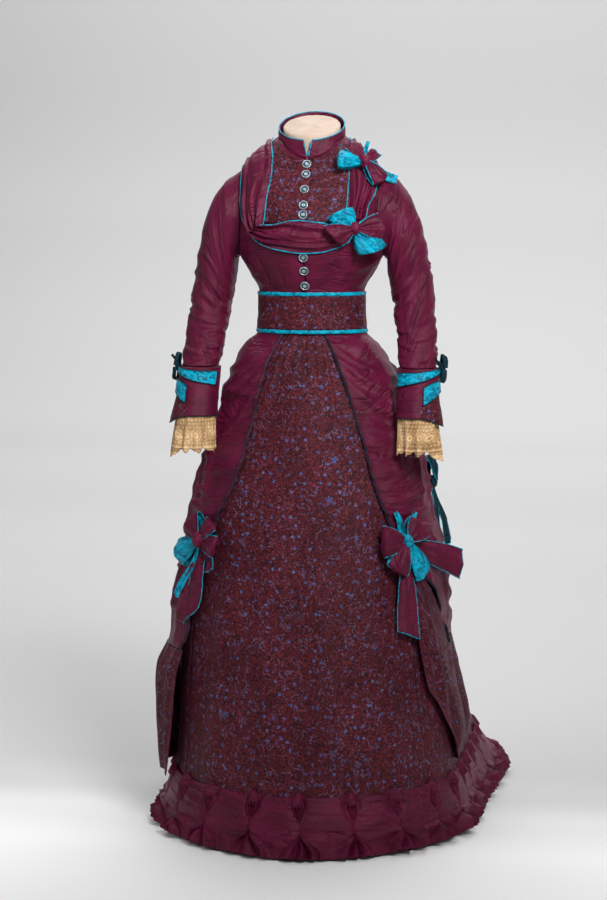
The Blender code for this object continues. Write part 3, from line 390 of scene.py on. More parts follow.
SIDE_DRAPE_CREASES = {
    "right": metres((
        (60, 345, 66, 110, 0, 8, 6), (70, 345, 78, 110, 0, 9, 7), (82, 345, 90, 110, 0, 10, 7),
        (96, 345, 102, 110, 0, 11, 7), (110, 345, 113, 110, 0, 10, 6),
    ), 0, 2),
    "left": metres((
        (58, 500, 66, 280, 0, 8, 4.4), (64, 440, 80, 160, 0, 9, 6), (76, 345, 92, 140, 0, 10, 7),
        (90, 345, 102, 140, 0, 11, 7), (106, 345, 112, 140, 0, 10, 6),
    ), 0, 2),
}

# Small silk wrinkles. Columns: length and width in metres, turn in degrees, height in metres.
WRINKLES = {
    "bodice_front": (0.055, 0.016, 20, 0.0017),
    "bodice_back": (0.055, 0.016, -15, 0.0017),
    "vest": (0.040, 0.016, 75, 0.0004),
    "collar": (0.030, 0.012, 60, 0.0004),
    "drapery": (0.036, 0.0085, 84, 0.0013),
    "belt": (0.02, 0.010, 0, 0.00035),
    "sleeve": (0.045, 0.0150, 0, 0.0030),
    "sleeve_fine": (0.0225, 0.0080, 0, 0.0011),
    "cuff": (0.045, 0.020, 0, 0.0006),
    "strap": (0.016, 0.007, 30, 0.0007),
    "skirt_front": (0.16, 0.050, 78, 0.0012),
    "skirt": (0.14, 0.045, 80, 0.0010),
    "overskirt": (0.095, 0.027, -14, 0.0042),
    "overskirt_back": (0.110, 0.036, 6, 0.0030),
    "side_drapery": (0.09, 0.030, 80, 0.0012),
    "flounce_strips": (0.100, 0.0078, 2, 0.0019),
    "flounce_creases": (0.045, 0.016, 62, 0.0016),
}
SLEEVE_WRINKLES_ROUND = 6
BELT_WRINKLES_ROUND = 48

# How strong the creases are, and how far they and the wrinkles may move the cloth in and out.
BODICE_CREASE_STRENGTH = 1.7
SKIRT_CREASE_STRENGTH = 1.5
BODICE_LIFT = (-0.0040, 0.0036)
SLEEVE_LIFT = (-0.0040, 0.0052)

# Metres of cloth to a degree of turn.
TORSO_SCALE = 0.0021
SKIRT_SCALE = 0.0038
SLEEVE_SCALE = 0.00076

# Weave and figure, in millimetres apart from the bump, which is in metres.
RIB_BUMP = 0.00003
SILK_RIB = 0.55
BROCADE_RIB = 0.6
LACE_REPEAT = 24.0
LACE_FLOWERS_AT = 46.0
LACE_BORDER_AT = 70.0

# Sprigs of the brocade. Columns: cell, radius in cells, shift in cells, share kept, strength of the core.
SPRIGS = ((38.0, 0.215, 0.0, 1.0, 0.85), (21.0, 0.190, 40.0, 0.42, 0.40))

# Studio paper: its course along y and z, and its painted light and shade by the share of a stretch along it.
# The stretch starts 1 m in front of the dress. Its start and length are in millimetres along the paper.
PAPER_COURSE = ((-9.0, 0.0), (7.4, 0.0), (8.3, 0.12), (9.0, 0.5), (9.4, 1.1), (9.6, 2.0), (9.6, 8.5))
PAPER_HALF_WIDTH = 9
PAPER_PAINTED_LIGHT_START = 8000.0
PAPER_PAINTED_LIGHT_LENGTH = 12000.0
# Painted light and shade: bright in front where the light falls, darker behind the dress where it falls off,
# paler again up the wall.
PAPER_PAINTED_LIGHT = (
    (0.04, 1.0), (0.06, 0.98), (0.083, 0.79), (0.10, 0.60), (0.12, 0.545), (0.25, 0.545),
    (0.31, 0.55), (0.45, 0.59), (0.65, 0.67), (0.78, 0.73), (0.87, 0.75), (1.0, 0.735),
)

# Lights. Columns: place, target, size, power in watts, spread in degrees.
WORLD_STRENGTH = 0.215
LIGHTS = {
    "key": ((1.3, -2.4, 2.7), (0.0, 0.0, 1.55), (1.1, 1.1), 22.0, 66.0),
    "fill": ((-2.6, -2.3, 2.5), (0.0, 0.0, 1.25), (1.6, 1.6), 6.0, 100.0),
    "top": ((0.0, 2.2, 4.4), (0.0, 1.6, 0.0), (4.5, 3.0), 160.0, 180.0),
    "back": ((0.0, 6.4, 5.6), (0.0, 8.2, 0.4), (8.0, 3.0), 260.0, 180.0),
}


# Surfaces


def column(table, keys, index):
    """One column of a table at many keys, on the same smooth curve as the model's panels."""
    rows = np.array(sorted(table), float)
    x, y = rows[:, 0], rows[:, index]
    keys = np.clip(np.asarray(keys, float), x[0], x[-1])
    slope = np.diff(y) / np.diff(x)
    product = slope[:-1] * slope[1:]
    total = slope[:-1] + slope[1:]
    inner = np.where(product > 0, 2 * product / np.where(total == 0, 1, total), 0.0)
    tangent = np.concatenate(([slope[0]], inner, [slope[-1]]))
    at = np.clip(np.searchsorted(x, keys, side="left") - 1, 0, len(x) - 2)
    span = x[at + 1] - x[at]
    t = (keys - x[at]) / span
    return (
        (2 * t**3 - 3 * t**2 + 1) * y[at]
        + (t**3 - 2 * t**2 + t) * span * tangent[at]
        + (3 * t**2 - 2 * t**3) * y[at + 1]
        + (t**3 - t**2) * span * tangent[at + 1]
    )


def along_table(table, share, index):
    """One column of a table, read by the share of the way along it."""
    rows = [(i / (len(table) - 1), *row) for i, row in enumerate(table)]
    return column(rows, share, index + 1)


def mix(a, b, t):
    return a + (b - a) * t


def smooth_step(t):
    t = np.clip(t, 0.0, 1.0)
    return t * t * (3 - 2 * t)


def bell(value, width):
    """A soft rise of height 1 round 0."""
    return np.exp(-(value / width) ** 2)


def oval(angle, half_width, front, back):
    depth = np.where(np.cos(angle) > 0, front, back)
    return half_width * np.sin(angle), -depth * np.cos(angle)


def around(count):
    """Evenly spaced angles round a closed ring."""
    return np.arange(count) * 2 * np.pi / count


def signed(angle):
    return np.remainder(angle + np.pi, 2 * np.pi) - np.pi


def flared_oval(angle, half_width, front, back, flare):
    """An oval that widens behind, for the train."""
    x, y = oval(angle, half_width, front, back)
    return np.where(np.cos(angle) < 0, x * (1 + flare * np.cos(angle) ** 2), x), y


def torso(angle, level):
    front_rise, back_rise, half_width, front, back = (column(TORSO, level, i) for i in range(1, 6))
    x, y = oval(angle, half_width, front, back)
    across = (np.abs(angle) - BUST_ANGLE) / BUST_SPREAD
    up = (level - BUST_LEVEL) / BUST_HEIGHT
    y = y - BUST_RISE * np.exp(-across * across - up * up)
    rise = np.where(np.cos(angle) > 0, front_rise, back_rise)
    return np.stack([x, y, level + rise * np.cos(angle) ** 2], axis=-1)


def skirt(angle, height):
    half_width, front, back, sway, flare = (column(SKIRT, height, i) for i in range(1, 6))
    x, y = flared_oval(angle, half_width, front, back, flare)
    return np.stack([x + sway, y, height + 0 * x], axis=-1)


def skirt_turned(angle, height):
    return skirt(signed(angle), height)


def unit(vectors):
    return vectors / np.maximum(np.linalg.norm(vectors, axis=-1, keepdims=True), 1e-12)


def outward(surface, angle, height):
    step = 1e-4
    here = surface(angle, height)
    across = surface(angle + step, height) - here
    up = surface(angle, height + step) - here
    return unit(np.cross(across, up))


def moved_out(surface, angle, height, distance):
    angle, height = np.broadcast_arrays(np.asarray(angle, float), np.asarray(height, float))
    distance = np.asarray(distance, float)
    return surface(angle, height) + outward(surface, angle, height) * distance[..., None]


def stand_off(angle, height):
    side = np.where(angle < 0, column(STAND_OFF, height, 1), column(STAND_OFF, height, 2))
    at_back = column(STAND_OFF, height, 3)
    turn = np.abs(angle)
    near_front = 0.45 + 0.55 * smooth_step((turn - math.radians(25)) / math.radians(45))
    front_part = np.maximum(side * near_front, np.minimum(side, 0.0026))
    return mix(front_part, at_back, smooth_step((turn - math.radians(100)) / math.radians(50)))


def overskirt_point(angle, height, lift=0.0):
    angle, height = np.broadcast_arrays(np.asarray(angle, float), np.asarray(height, float))
    return moved_out(skirt, angle, height, stand_off(angle, height) + lift)


# Creases


def creases(across, up, rows, scale):
    """Soft ridges and troughs along given lines that fade at both ends."""
    total = np.zeros(np.broadcast(across, up).shape)
    for x0, y0, x1, y1, sag, width, height in rows:
        dx = (x1 - x0) * scale
        dy = y1 - y0
        px = (across - x0) * scale
        py = up - y0
        t = np.clip((px * dx + py * dy) / (dx * dx + dy * dy), 0, 1)
        off_x = px - t * dx
        off_y = py - t * dy + sag * 4 * t * (1 - t)
        fade = np.sin(np.pi * (0.06 + 0.88 * t)) ** 0.7
        total += height * fade * np.exp(-(off_x**2 + off_y**2) / width**2)
    return total


def noise(x, y, seed, wrap=64):
    """Smooth value noise with one cell a unit, from -1 to 1."""
    table = np.random.default_rng(seed).uniform(-1, 1, (64, 64))
    x, y = np.broadcast_arrays(x, y)
    i, j = np.floor(x).astype(int), np.floor(y).astype(int)
    fx, fy = smooth_step(x - i), smooth_step(y - j)
    i0, i1 = i % wrap % 64, (i + 1) % wrap % 64
    j0, j1 = j % 64, (j + 1) % 64
    low = mix(table[i0, j0], table[i1, j0], fx)
    high = mix(table[i0, j1], table[i1, j1], fx)
    return mix(low, high, fy)


def crinkle(x, y, seed, long, short, turn, height, wrap=64):
    """Crisp small silk wrinkles that run one way. Lengths are in metres and turn is in degrees."""
    c, s = math.cos(math.radians(turn)), math.sin(math.radians(turn))
    along = (x * c + y * s) / long
    aside = (y * c - x * s) / short
    aside = aside + 0.7 * noise(along * 0.8, aside * 0.35, seed + 50, wrap)
    value = noise(along, aside, seed, wrap)
    return height * (0.55 - 2 * np.sqrt(value * value + 0.004))


def wrinkled_round(turn, down, seed, kind, count):
    """Wrinkles that meet on a closed tube, with a whole count of them round it."""
    long = WRINKLES[kind][0]
    return crinkle(turn / (2 * np.pi) * count * long, down, seed, *WRINKLES[kind], wrap=count)


# Meshes


def grid_normals(points, closed):
    if closed:
        du = np.roll(points, -1, axis=1) - np.roll(points, 1, axis=1)
    else:
        du = np.gradient(points, axis=1)
    return unit(np.cross(du, np.gradient(points, axis=0)))


def cloth_lengths(points, closed=False):
    """Metres across and along the cloth at each point of a grid, from the middle of its first row."""
    if closed:
        points = np.concatenate([points, points[:, :1]], axis=1)
    rows, columns = points.shape[:2]
    across = np.zeros((rows, columns))
    across[:, 1:] = np.cumsum(np.linalg.norm(np.diff(points, axis=1), axis=2), axis=1)
    across -= across[:, columns // 2:columns // 2 + 1]
    along = np.zeros((rows, columns))
    along[1:] = np.cumsum(np.linalg.norm(np.diff(points, axis=0), axis=2), axis=0)
    return across, along


def grid_parts(points, closed=False):
    """Points, faces and cloth coordinates of one grid."""
    rows, columns = points.shape[:2]
    index = np.arange(rows * columns).reshape(rows, columns)
    if closed:
        index = np.concatenate([index, index[:, :1]], axis=1)
    place = np.stack(cloth_lengths(points, closed), axis=2)

    def corners(grid):
        parts = (grid[:-1, :-1], grid[:-1, 1:], grid[1:, 1:], grid[1:, :-1])
        return np.stack(parts, axis=2)

    faces = corners(index).reshape(-1, 4)
    uv = corners(place).reshape(-1, 4, 2)
    return points.reshape(-1, 3), faces, uv


def joined(parts):
    points, faces, uvs = [], [], []
    start = 0
    for p, f, uv in parts:
        points.append(p)
        faces.append(f + start)
        uvs.append(uv)
        start += len(p)
    return np.concatenate(points), np.concatenate(faces), np.concatenate(uvs)


def new_mesh(name, points, faces, uv, fabric):
    """A smooth mesh in the scene, with cloth coordinates and its first material."""
    mesh = bpy.data.meshes.new(name)
    mesh.from_pydata(points.tolist(), [], faces.tolist())
    mesh.uv_layers.new(name="cloth").data.foreach_set("uv", uv.reshape(-1).astype(np.float32))
    mesh.shade_smooth()
    mesh.materials.append(MATERIALS[fabric])
    made = bpy.data.objects.new(name, mesh)
    bpy.context.scene.collection.objects.link(made)
    return made


def piece(name, parts, fabric, nodes=(), wall=0.0, middle=False, lining=None, second=None):
    """A piece of the dress: its mesh, materials and wall, hung under the root body, with the model's nodes it
    stands for hidden.
    """
    made = new_mesh(name, *joined(parts), fabric)
    mesh = made.data
    if lining:
        mesh.materials.append(MATERIALS[lining])
    if second:
        other, mask = second
        mesh.materials.append(MATERIALS[other])
        number = len(mesh.materials) - 1
        mesh.polygons.foreach_set("material_index", np.where(mask.reshape(-1), number, 0).astype(np.int32))
    if wall:
        shell = made.modifiers.new("Wall", "SOLIDIFY")
        shell.thickness = wall
        shell.offset = 0.0 if middle else -1.0
        if lining:
            shell.material_offset = 1
    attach(made, "root")
    if nodes:
        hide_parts(*nodes)
    return made


def cloth(name, points, fabric, closed=False, wall=CLOTH_WALL, lining=None, held="hung",
          rests_on=("form_torso",), second=None):
    """A cloth piece that stands for the model's node of the same name."""
    parts = [grid_parts(points, closed)]
    made = piece(name + "_cloth", parts, fabric, (name,), wall, lining=lining, second=second)


def tube_parts(line, radius, closed=False):
    """Piping along a line of points, nearly closed at its ends."""
    line = np.asarray(line, float)
    if closed:
        ahead = unit(np.roll(line, -1, axis=0) - np.roll(line, 1, axis=0))
    else:
        ahead = unit(np.gradient(line, axis=0))
    side = np.cross(ahead[0], PIPING_START)
    turns = around(PIPING_SIDES)
    rings = []
    for point, along in zip(line, ahead):
        side = side - along * side.dot(along)
        side = side / np.linalg.norm(side)
        other = np.cross(along, side)
        rings.append(point + radius * (np.cos(turns)[:, None] * side + np.sin(turns)[:, None] * other))
    rings = np.array(rings)
    if closed:
        rings = np.concatenate([rings, rings[:1]])
    else:
        tip = rings.mean(axis=1, keepdims=True)
        start = tip[:1] + (rings[:1] - tip[:1]) * PIPING_TIP
        end = tip[-1:] + (rings[-1:] - tip[-1:]) * PIPING_TIP
        rings = np.concatenate([start, rings, end])
    return grid_parts(rings, True)


def mirrored(points):
    return (points * np.array([-1, 1, 1]))[:, ::-1]


def hung(points, side):
    """The lower sleeve comes forward, clear of the skirt."""
    t = smooth_step((SLEEVE_BEND_TOP - points[..., 2]) / (SLEEVE_BEND_TOP - SLEEVE_BEND_BOTTOM))
    out = (SLEEVE_LEFT_OUT if side > 0 else -SLEEVE_RIGHT_OUT) * t
    return points + np.stack([out, -SLEEVE_FORWARD * t, 0 * t], axis=-1)


def for_side(points, side):
    return hung(points if side > 0 else mirrored(points), side)


# Materials


class Fabric:
    """A node material with cloth coordinates in millimetres."""

    def __init__(self, name):
        self.material = bpy.data.materials.new(name)
        self.material.use_nodes = True
        self.tree = self.material.node_tree
        self.shader = self.tree.nodes["Principled BSDF"]
        uv = self.node("ShaderNodeUVMap", uv_map="cloth").outputs[0]
        self.mm = self.node("ShaderNodeVectorMath", {0: uv, "Scale": 1000.0}, operation="SCALE").outputs[0]

    def node(self, kind, inputs=None, **settings):
        made = self.tree.nodes.new(kind)
        for key, value in settings.items():
            setattr(made, key, value)
        for key, value in (inputs or {}).items():
            if isinstance(value, bpy.types.NodeSocket):
                self.tree.links.new(value, made.inputs[key])
            else:
                made.inputs[key].default_value = value
        return made

    def math(self, operation, a, b=0.0, clamp=False):
        return self.node("ShaderNodeMath", {0: a, 1: b}, operation=operation, use_clamp=clamp).outputs[0]

    def times(self, a, b):
        return self.math("MULTIPLY", a, b)

    def plus(self, a, b):
        return self.math("ADD", a, b)

    def minus(self, a, b):
        return self.math("SUBTRACT", a, b)

    def away(self, value, middle=0.5):
        """How far a value is from a middle value."""
        return self.math("ABSOLUTE", self.minus(value, middle))

    def blend(self, a, share_a, b, share_b):
        return self.plus(self.times(a, share_a), self.times(b, share_b))

    def parts(self, kind, source):
        """The three parts of a vector (XYZ) or a colour (Color)."""
        return self.node("ShaderNodeSeparate" + kind, {0: source}).outputs

    def scaled(self, x, y):
        """Coordinates with cells of x by y millimetres."""
        inputs = {0: self.mm, 1: (1 / x, 1 / y, 1.0)}
        return self.node("ShaderNodeVectorMath", inputs, operation="MULTIPLY").outputs[0]

    def noise(self, x, y, detail=1.0, distortion=0.0):
        inputs = {"Vector": self.scaled(x, y), "Scale": 1.0, "Detail": detail, "Distortion": distortion}
        return self.node("ShaderNodeTexNoise", inputs, noise_dimensions="2D").outputs[0]

    def cells(self, place, scatter, **settings):
        """Scattered cells, one unit across."""
        inputs = {"Vector": place, "Scale": 1.0, "Randomness": scatter}
        return self.node("ShaderNodeTexVoronoi", inputs, voronoi_dimensions="2D", **settings).outputs

    def ramp(self, factor, stops):
        made = self.node("ShaderNodeValToRGB", {0: factor})
        made.color_ramp.interpolation = "EASE"
        elements = made.color_ramp.elements
        while len(elements) < len(stops):
            elements.new(0.5)
        for element, (place, color) in zip(elements, stops):
            element.position = place
            element.color = (*color, 1.0)
        return made.outputs[0]

    def fade(self, value, low, high):
        """0 below low and 1 above high, or the other way round."""
        return self.node("ShaderNodeMapRange", {0: value, 1: low, 2: high, 3: 0.0, 4: 1.0},
                         interpolation_type="SMOOTHSTEP").outputs[0]

    def mixed(self, factor, a, b, blend="MIX"):
        made = self.node("ShaderNodeMix", {0: factor, 6: a, 7: b}, data_type="RGBA", blend_type=blend)
        return made.outputs[2]

    def bump(self, height, distance, before=None):
        inputs = {"Height": height, "Distance": distance, "Strength": 1.0}
        if before is not None:
            inputs["Normal"] = before
        return self.node("ShaderNodeBump", inputs).outputs[0]

    def surface(self, color, roughness, normal, specular, sheen=None):
        """Connects the shader. The sheen is given by its weight, roughness and tint."""
        for key, source in (("Base Color", color), ("Roughness", roughness), ("Normal", normal)):
            self.tree.links.new(source, self.shader.inputs[key])
        self.shader.inputs["Specular IOR Level"].default_value = specular
        if sheen:
            weight, rough, tint = sheen
            self.shader.inputs["Sheen Weight"].default_value = weight
            self.shader.inputs["Sheen Roughness"].default_value = rough
            self.shader.inputs["Sheen Tint"].default_value = (*tint, 1.0)
        return self.material

    def ribs(self, pitch):
        """Fine ribs across the cloth, as height from -1 to 1."""
        y = self.parts("XYZ", self.mm)[1]
        return self.math("SINE", self.times(y, 2 * math.pi / pitch))


def silk(name, dark, light):
    """Silk with crosswise ribs and slubs, soft large variation and fine rumpling."""
    f = Fabric(name)
    broad = f.noise(70, 55, 2.0)
    slubs = f.noise(26, 0.9, 2.0)
    bands = f.noise(120, 3.2, 1.0)
    tone = f.plus(f.blend(slubs, 0.42, broad, 0.38), f.times(bands, 0.20))
    color = f.ramp(tone, ((0.28, dark), (0.72, light)))
    rumple = f.noise(15, 7, 2.0, 0.6)
    valley = f.away(f.noise(70, 24, 1.0, 0.4))
    patch = f.fade(f.noise(95, 70, 1.0), 0.40, 0.62)
    normal = f.bump(f.times(f.fade(valley, 0.0, 0.09), patch), 0.0016)
    normal = f.bump(rumple, 0.0006, normal)
    normal = f.bump(slubs, 0.00012, normal)
    normal = f.bump(f.ribs(SILK_RIB), RIB_BUMP, normal)
    roughness = f.plus(f.times(bands, 0.14), 0.35)
    return f.surface(color, roughness, normal, 0.16, (0.06, 0.35, (0.9, 0.3, 0.55)))


def satin(name, dark, light, specular):
    """Satin with fine warp streaks along the cloth and small crushed facets."""
    f = Fabric(name)
    streaks = f.noise(0.8, 30, 2.0)
    broad = f.noise(14, 9, 2.0, 0.9)
    color = f.ramp(f.blend(streaks, 0.35, broad, 0.65), ((0.30, dark), (0.68, light)))
    normal = f.bump(f.noise(9, 4, 2.0, 1.2), 0.0017)
    normal = f.bump(streaks, 0.00008, normal)
    roughness = f.plus(f.times(streaks, 0.12), 0.28)
    return f.surface(color, roughness, normal, specular)


def network(f):
    """The wine ground of the figured silk with its dark and red lines, and the dark lines as height."""
    ground = f.ramp(f.noise(5.2, 4.2, 2.0, 0.9), (
        (0.34, (0.022, 0.004, 0.008)),
        (0.47, (0.068, 0.009, 0.016)),
        (0.58, (0.112, 0.014, 0.021)),
        (0.72, (0.175, 0.026, 0.020)),
    ))
    lines = f.fade(f.away(f.noise(8.5, 9.5, 1.0, 1.8)), 0.070, 0.026)
    color = f.mixed(f.times(lines, 0.90), ground, (0.009, 0.003, 0.006, 1.0))
    thread = f.fade(f.away(f.noise(6.0, 7.0, 1.0, 1.4)), 0.050, 0.018)
    return f.mixed(f.times(thread, 0.55), color, (0.120, 0.014, 0.030, 1.0)), lines


def sprig(f, cell, radius, shift):
    """Scattered flowers with five lobes: the distance from a centre in reaches, and two random keys."""
    place = f.node("ShaderNodeVectorMath", {0: f.scaled(cell, cell), 1: (shift, shift * 0.7, 0.0)},
                   operation="ADD").outputs[0]
    cells = f.cells(place, 0.80)
    offset = f.node("ShaderNodeVectorMath", {0: place, 1: cells["Position"]}, operation="SUBTRACT")
    x, y, _ = f.parts("XYZ", offset.outputs[0])
    red, green, blue = f.parts("Color", cells["Color"])
    turn = f.plus(f.times(f.math("ARCTAN2", y, x), 5.0), f.times(red, 6.28))
    reach = f.times(f.plus(f.times(f.math("COSINE", turn), 0.22), 0.78), radius)
    return f.math("DIVIDE", cells["Distance"], reach), green, blue


def figured(name):
    """Figured silk: a wine ground with a network, and small blue, lilac and teal sprigs on stems."""
    f = Fabric(name)
    color, lines = network(f)
    stem = f.fade(f.away(f.noise(24, 28, 1.0, 1.0)), 0.050, 0.022)
    specks = f.cells(f.scaled(4.0, 4.0), 0.9)
    speck = f.fade(specks["Distance"], 0.58, 0.30)
    speck_hue, speck_share, _ = f.parts("Color", specks["Color"])
    hue = f.ramp(speck_hue, (
        (0.0, (0.080, 0.100, 0.330)),
        (0.35, (0.150, 0.110, 0.290)),
        (0.65, (0.045, 0.130, 0.370)),
        (1.0, (0.120, 0.170, 0.220)),
    ))
    chain = f.times(f.times(stem, speck), f.fade(speck_share, 0.35, 0.50))
    color = f.mixed(f.times(chain, 0.42), color, (0.190, 0.150, 0.290, 1.0))
    height = chain
    vivid = f.plus(f.times(f.fade(f.noise(48, 60, 1.0), 0.36, 0.60), 0.60), 0.40)
    for cell, radius, shift, share, core in SPRIGS:
        ratio, kept, key = sprig(f, cell, radius, shift)
        mask = f.times(f.fade(ratio, 1.15, 0.80), f.fade(kept, 1.02 - share, 1.0 - share))
        deep = f.ramp(key, (
            (0.0, (0.022, 0.020, 0.130)),
            (0.5, (0.070, 0.040, 0.150)),
            (1.0, (0.012, 0.070, 0.120)),
        ))
        color = f.mixed(f.times(mask, core), color, deep)
        heart = f.times(f.fade(ratio, 0.34, 0.14), 0.6)
        bright = f.times(f.times(mask, vivid), f.math("MAXIMUM", speck, heart))
        color = f.mixed(bright, color, hue)
        height = f.math("MAXIMUM", height, bright)
    clouds = f.ramp(f.noise(90, 120, 2.0), ((0.30, (0.62, 0.60, 0.62)), (0.70, (1.0, 1.0, 1.0))))
    color = f.mixed(0.55, color, clouds, "MULTIPLY")
    normal = f.bump(f.noise(22, 16, 2.0, 0.4), 0.0005)
    normal = f.bump(f.minus(height, lines), 0.00016, normal)
    normal = f.bump(f.ribs(BROCADE_RIB), RIB_BUMP, normal)
    roughness = f.plus(f.times(height, -0.12), 0.50)
    return f.surface(color, roughness, normal, 0.10, (0.06, 0.4, (0.75, 0.35, 0.42)))


def lace_material(name):
    """Ecru lace: a fine net, a row of round flowers with rings, small dots and a corded scalloped edge. The
    holes between the threads are painted dark brown, a painted shade seen through the lace.
    """
    f = Fabric(name)
    x, y, _ = f.parts("XYZ", f.mm)
    net = f.cells(f.scaled(2.6, 2.6), 0.25, feature="DISTANCE_TO_EDGE")[0]
    solid = f.times(f.fade(net, 0.20, 0.08), 0.75)
    dx = f.times(f.minus(f.math("FRACT", f.math("DIVIDE", x, LACE_REPEAT)), 0.5), LACE_REPEAT)
    dy = f.minus(y, LACE_FLOWERS_AT)
    radius = f.math("SQRT", f.plus(f.times(dx, dx), f.times(dy, dy)))
    petals = f.times(f.math("COSINE", f.times(f.math("ARCTAN2", dy, dx), 8.0)), 1.1)
    flower = f.minus(f.fade(f.plus(radius, petals), 8.2, 6.6), f.times(f.fade(radius, 3.0, 2.0), 0.8))
    ring = f.fade(f.away(radius, 10.8), 1.1, 0.5)
    dots = f.cells(f.scaled(7.5, 7.5), 0.30)["Distance"]
    dot = f.times(f.fade(dots, 0.30, 0.20), f.fade(radius, 11.0, 13.0))
    border = f.fade(f.away(y, LACE_BORDER_AT), 2.2, 1.2)
    for part in (flower, ring, dot, border, f.fade(y, 78.0, 82.0)):
        solid = f.math("MAXIMUM", solid, part)
    shade = f.noise(26, 40, 2.0)
    pale = f.ramp(shade, ((0.3, (0.560, 0.345, 0.165)), (0.7, (0.800, 0.550, 0.300))))
    # The colour between the threads: painted shade seen through the holes.
    dark = f.ramp(shade, ((0.3, (0.210, 0.105, 0.042)), (0.7, (0.390, 0.225, 0.105))))
    normal = f.bump(solid, 0.0006)
    roughness = f.plus(f.times(solid, 0.10), 0.78)
    return f.surface(f.mixed(solid, dark, pale), roughness, normal, 0.2, (0.10, 0.5, (0.95, 0.80, 0.60)))


def plain_weave(name, dark, light, pitch, rough):
    """Plain linen or cotton with a visible over and under weave."""
    f = Fabric(name)
    x, y, _ = f.parts("XYZ", f.mm)
    across = f.math("SINE", f.times(x, 2 * math.pi / pitch))
    along = f.math("SINE", f.times(y, 2 * math.pi / pitch))
    slubs = f.noise(12, 0.7, 2.0)
    color = f.ramp(f.blend(slubs, 0.3, f.noise(60, 60, 3.0), 0.7), ((0.3, dark), (0.7, light)))
    normal = f.bump(f.times(across, along), 0.00006)
    normal = f.bump(slubs, 0.00008, normal)
    roughness = f.plus(f.times(slubs, 0.12), rough)
    return f.surface(color, roughness, normal, 0.25, (0.2, 0.5, (0.95, 0.88, 0.80)))


def hard_material(name, dark, light, rough, metallic, specks):
    """A painted or polished hard surface with fine wear, from object coordinates."""
    f = Fabric(name)
    place = f.node("ShaderNodeTexCoord").outputs["Object"]
    fine = {"Vector": place, "Scale": specks, "Detail": 4.0, "Roughness": 0.6}
    wear = f.node("ShaderNodeTexNoise", fine).outputs[0]
    broad = f.node("ShaderNodeTexNoise", {"Vector": place, "Scale": specks / 9, "Detail": 2.0}).outputs[0]
    color = f.ramp(f.blend(wear, 0.5, broad, 0.5), ((0.32, dark), (0.70, light)))
    normal = f.bump(wear, 0.00010)
    roughness = f.plus(f.times(wear, 0.25), rough - 0.12)
    f.shader.inputs["Metallic"].default_value = metallic
    return f.surface(color, roughness, normal, 0.5)


def backdrop_paper(name):
    """Pale paper with painted light and shade: painted bright in front, darker behind the dress, then paler
    again up the wall.
    """
    f = Fabric(name)
    y = f.parts("XYZ", f.mm)[1]
    share = f.math("DIVIDE", f.minus(y, PAPER_PAINTED_LIGHT_START), PAPER_PAINTED_LIGHT_LENGTH, clamp=True)
    # The tone along the paper is painted light and shade, not the paper's own colour.
    tone = f.ramp(share, tuple((place, (value, value, value * 1.005)) for place, value in PAPER_PAINTED_LIGHT))
    grain = f.noise(4, 4, 2.0)
    fleck = f.ramp(grain, ((0.3, (0.5, 0.5, 0.5)), (0.7, (1.0, 1.0, 1.0))))
    normal = f.bump(grain, 0.0001)
    roughness = f.plus(f.times(grain, 0.08), 0.80)
    return f.surface(f.mixed(0.04, tone, fleck, "MULTIPLY"), roughness, normal, 0.05)


MATERIALS = {
    "plum_silk": silk("plum silk", (0.050, 0.0022, 0.013), (0.130, 0.0060, 0.036)),
    "brocade": figured("figured silk"),
    "teal_satin": satin("teal satin", (0.000, 0.068, 0.120), (0.000, 0.400, 0.590), 0.15),
    # A darker copy of the teal satin: a dark ribbon on the pipings and cuff bows, and painted shade on the
    # back bow, where it stands for the teal satin in shade.
    "dark_satin": satin("dark satin", (0.0010, 0.0085, 0.0140), (0.002, 0.030, 0.047), 0.16),
    "lace": lace_material("ecru lace"),
    "linen": plain_weave("neck cover", (0.400, 0.306, 0.245), (0.490, 0.374, 0.300), 0.7, 0.66),
    "lining": plain_weave("brown cotton lining", (0.110, 0.060, 0.032), (0.210, 0.125, 0.070), 0.6, 0.74),
    "button": hard_material(
        "turned button", (0.130, 0.190, 0.230), (0.420, 0.520, 0.580), 0.30, 0.35, 420.0),
    # Painted shade for the sunk ring of the buttons.
    "button_painted_shade": hard_material(
        "button hollow painted shade", (0.010, 0.018, 0.028), (0.040, 0.062, 0.085), 0.40, 0.2, 300.0),
    "stand": hard_material("dark paint", (0.030, 0.027, 0.027), (0.075, 0.068, 0.064), 0.42, 0.5, 60.0),
    "floor": backdrop_paper("studio paper with painted light"),
}


# Camera, light and floor


def camera():
    data = bpy.data.cameras.new("camera")
    data.lens = CAMERA_LENS
    data.shift_x, data.shift_y = CAMERA_SHIFT
    made = bpy.data.objects.new("camera", data)
    x, y = math.sin(CAMERA_AZIMUTH), -math.cos(CAMERA_AZIMUTH)
    made.location = (CAMERA_DISTANCE * x, CAMERA_DISTANCE * y, CAMERA_HEIGHT)
    made.rotation_euler = (math.pi / 2 - CAMERA_PITCH, 0.0, CAMERA_AZIMUTH)
    bpy.context.scene.collection.objects.link(made)
    bpy.context.scene.camera = made


def area_light(name, place, target, size, power, spread):
    data = bpy.data.lights.new(name, "AREA")
    data.shape = "RECTANGLE"
    data.size, data.size_y = size
    data.energy = power
    data.spread = math.radians(spread)
    made = bpy.data.objects.new(name, data)
    made.location = place
    away = Vector(place) - Vector(target)
    made.rotation_mode = "QUATERNION"
    made.rotation_quaternion = away.to_track_quat("Z", "Y")
    bpy.context.scene.collection.objects.link(made)


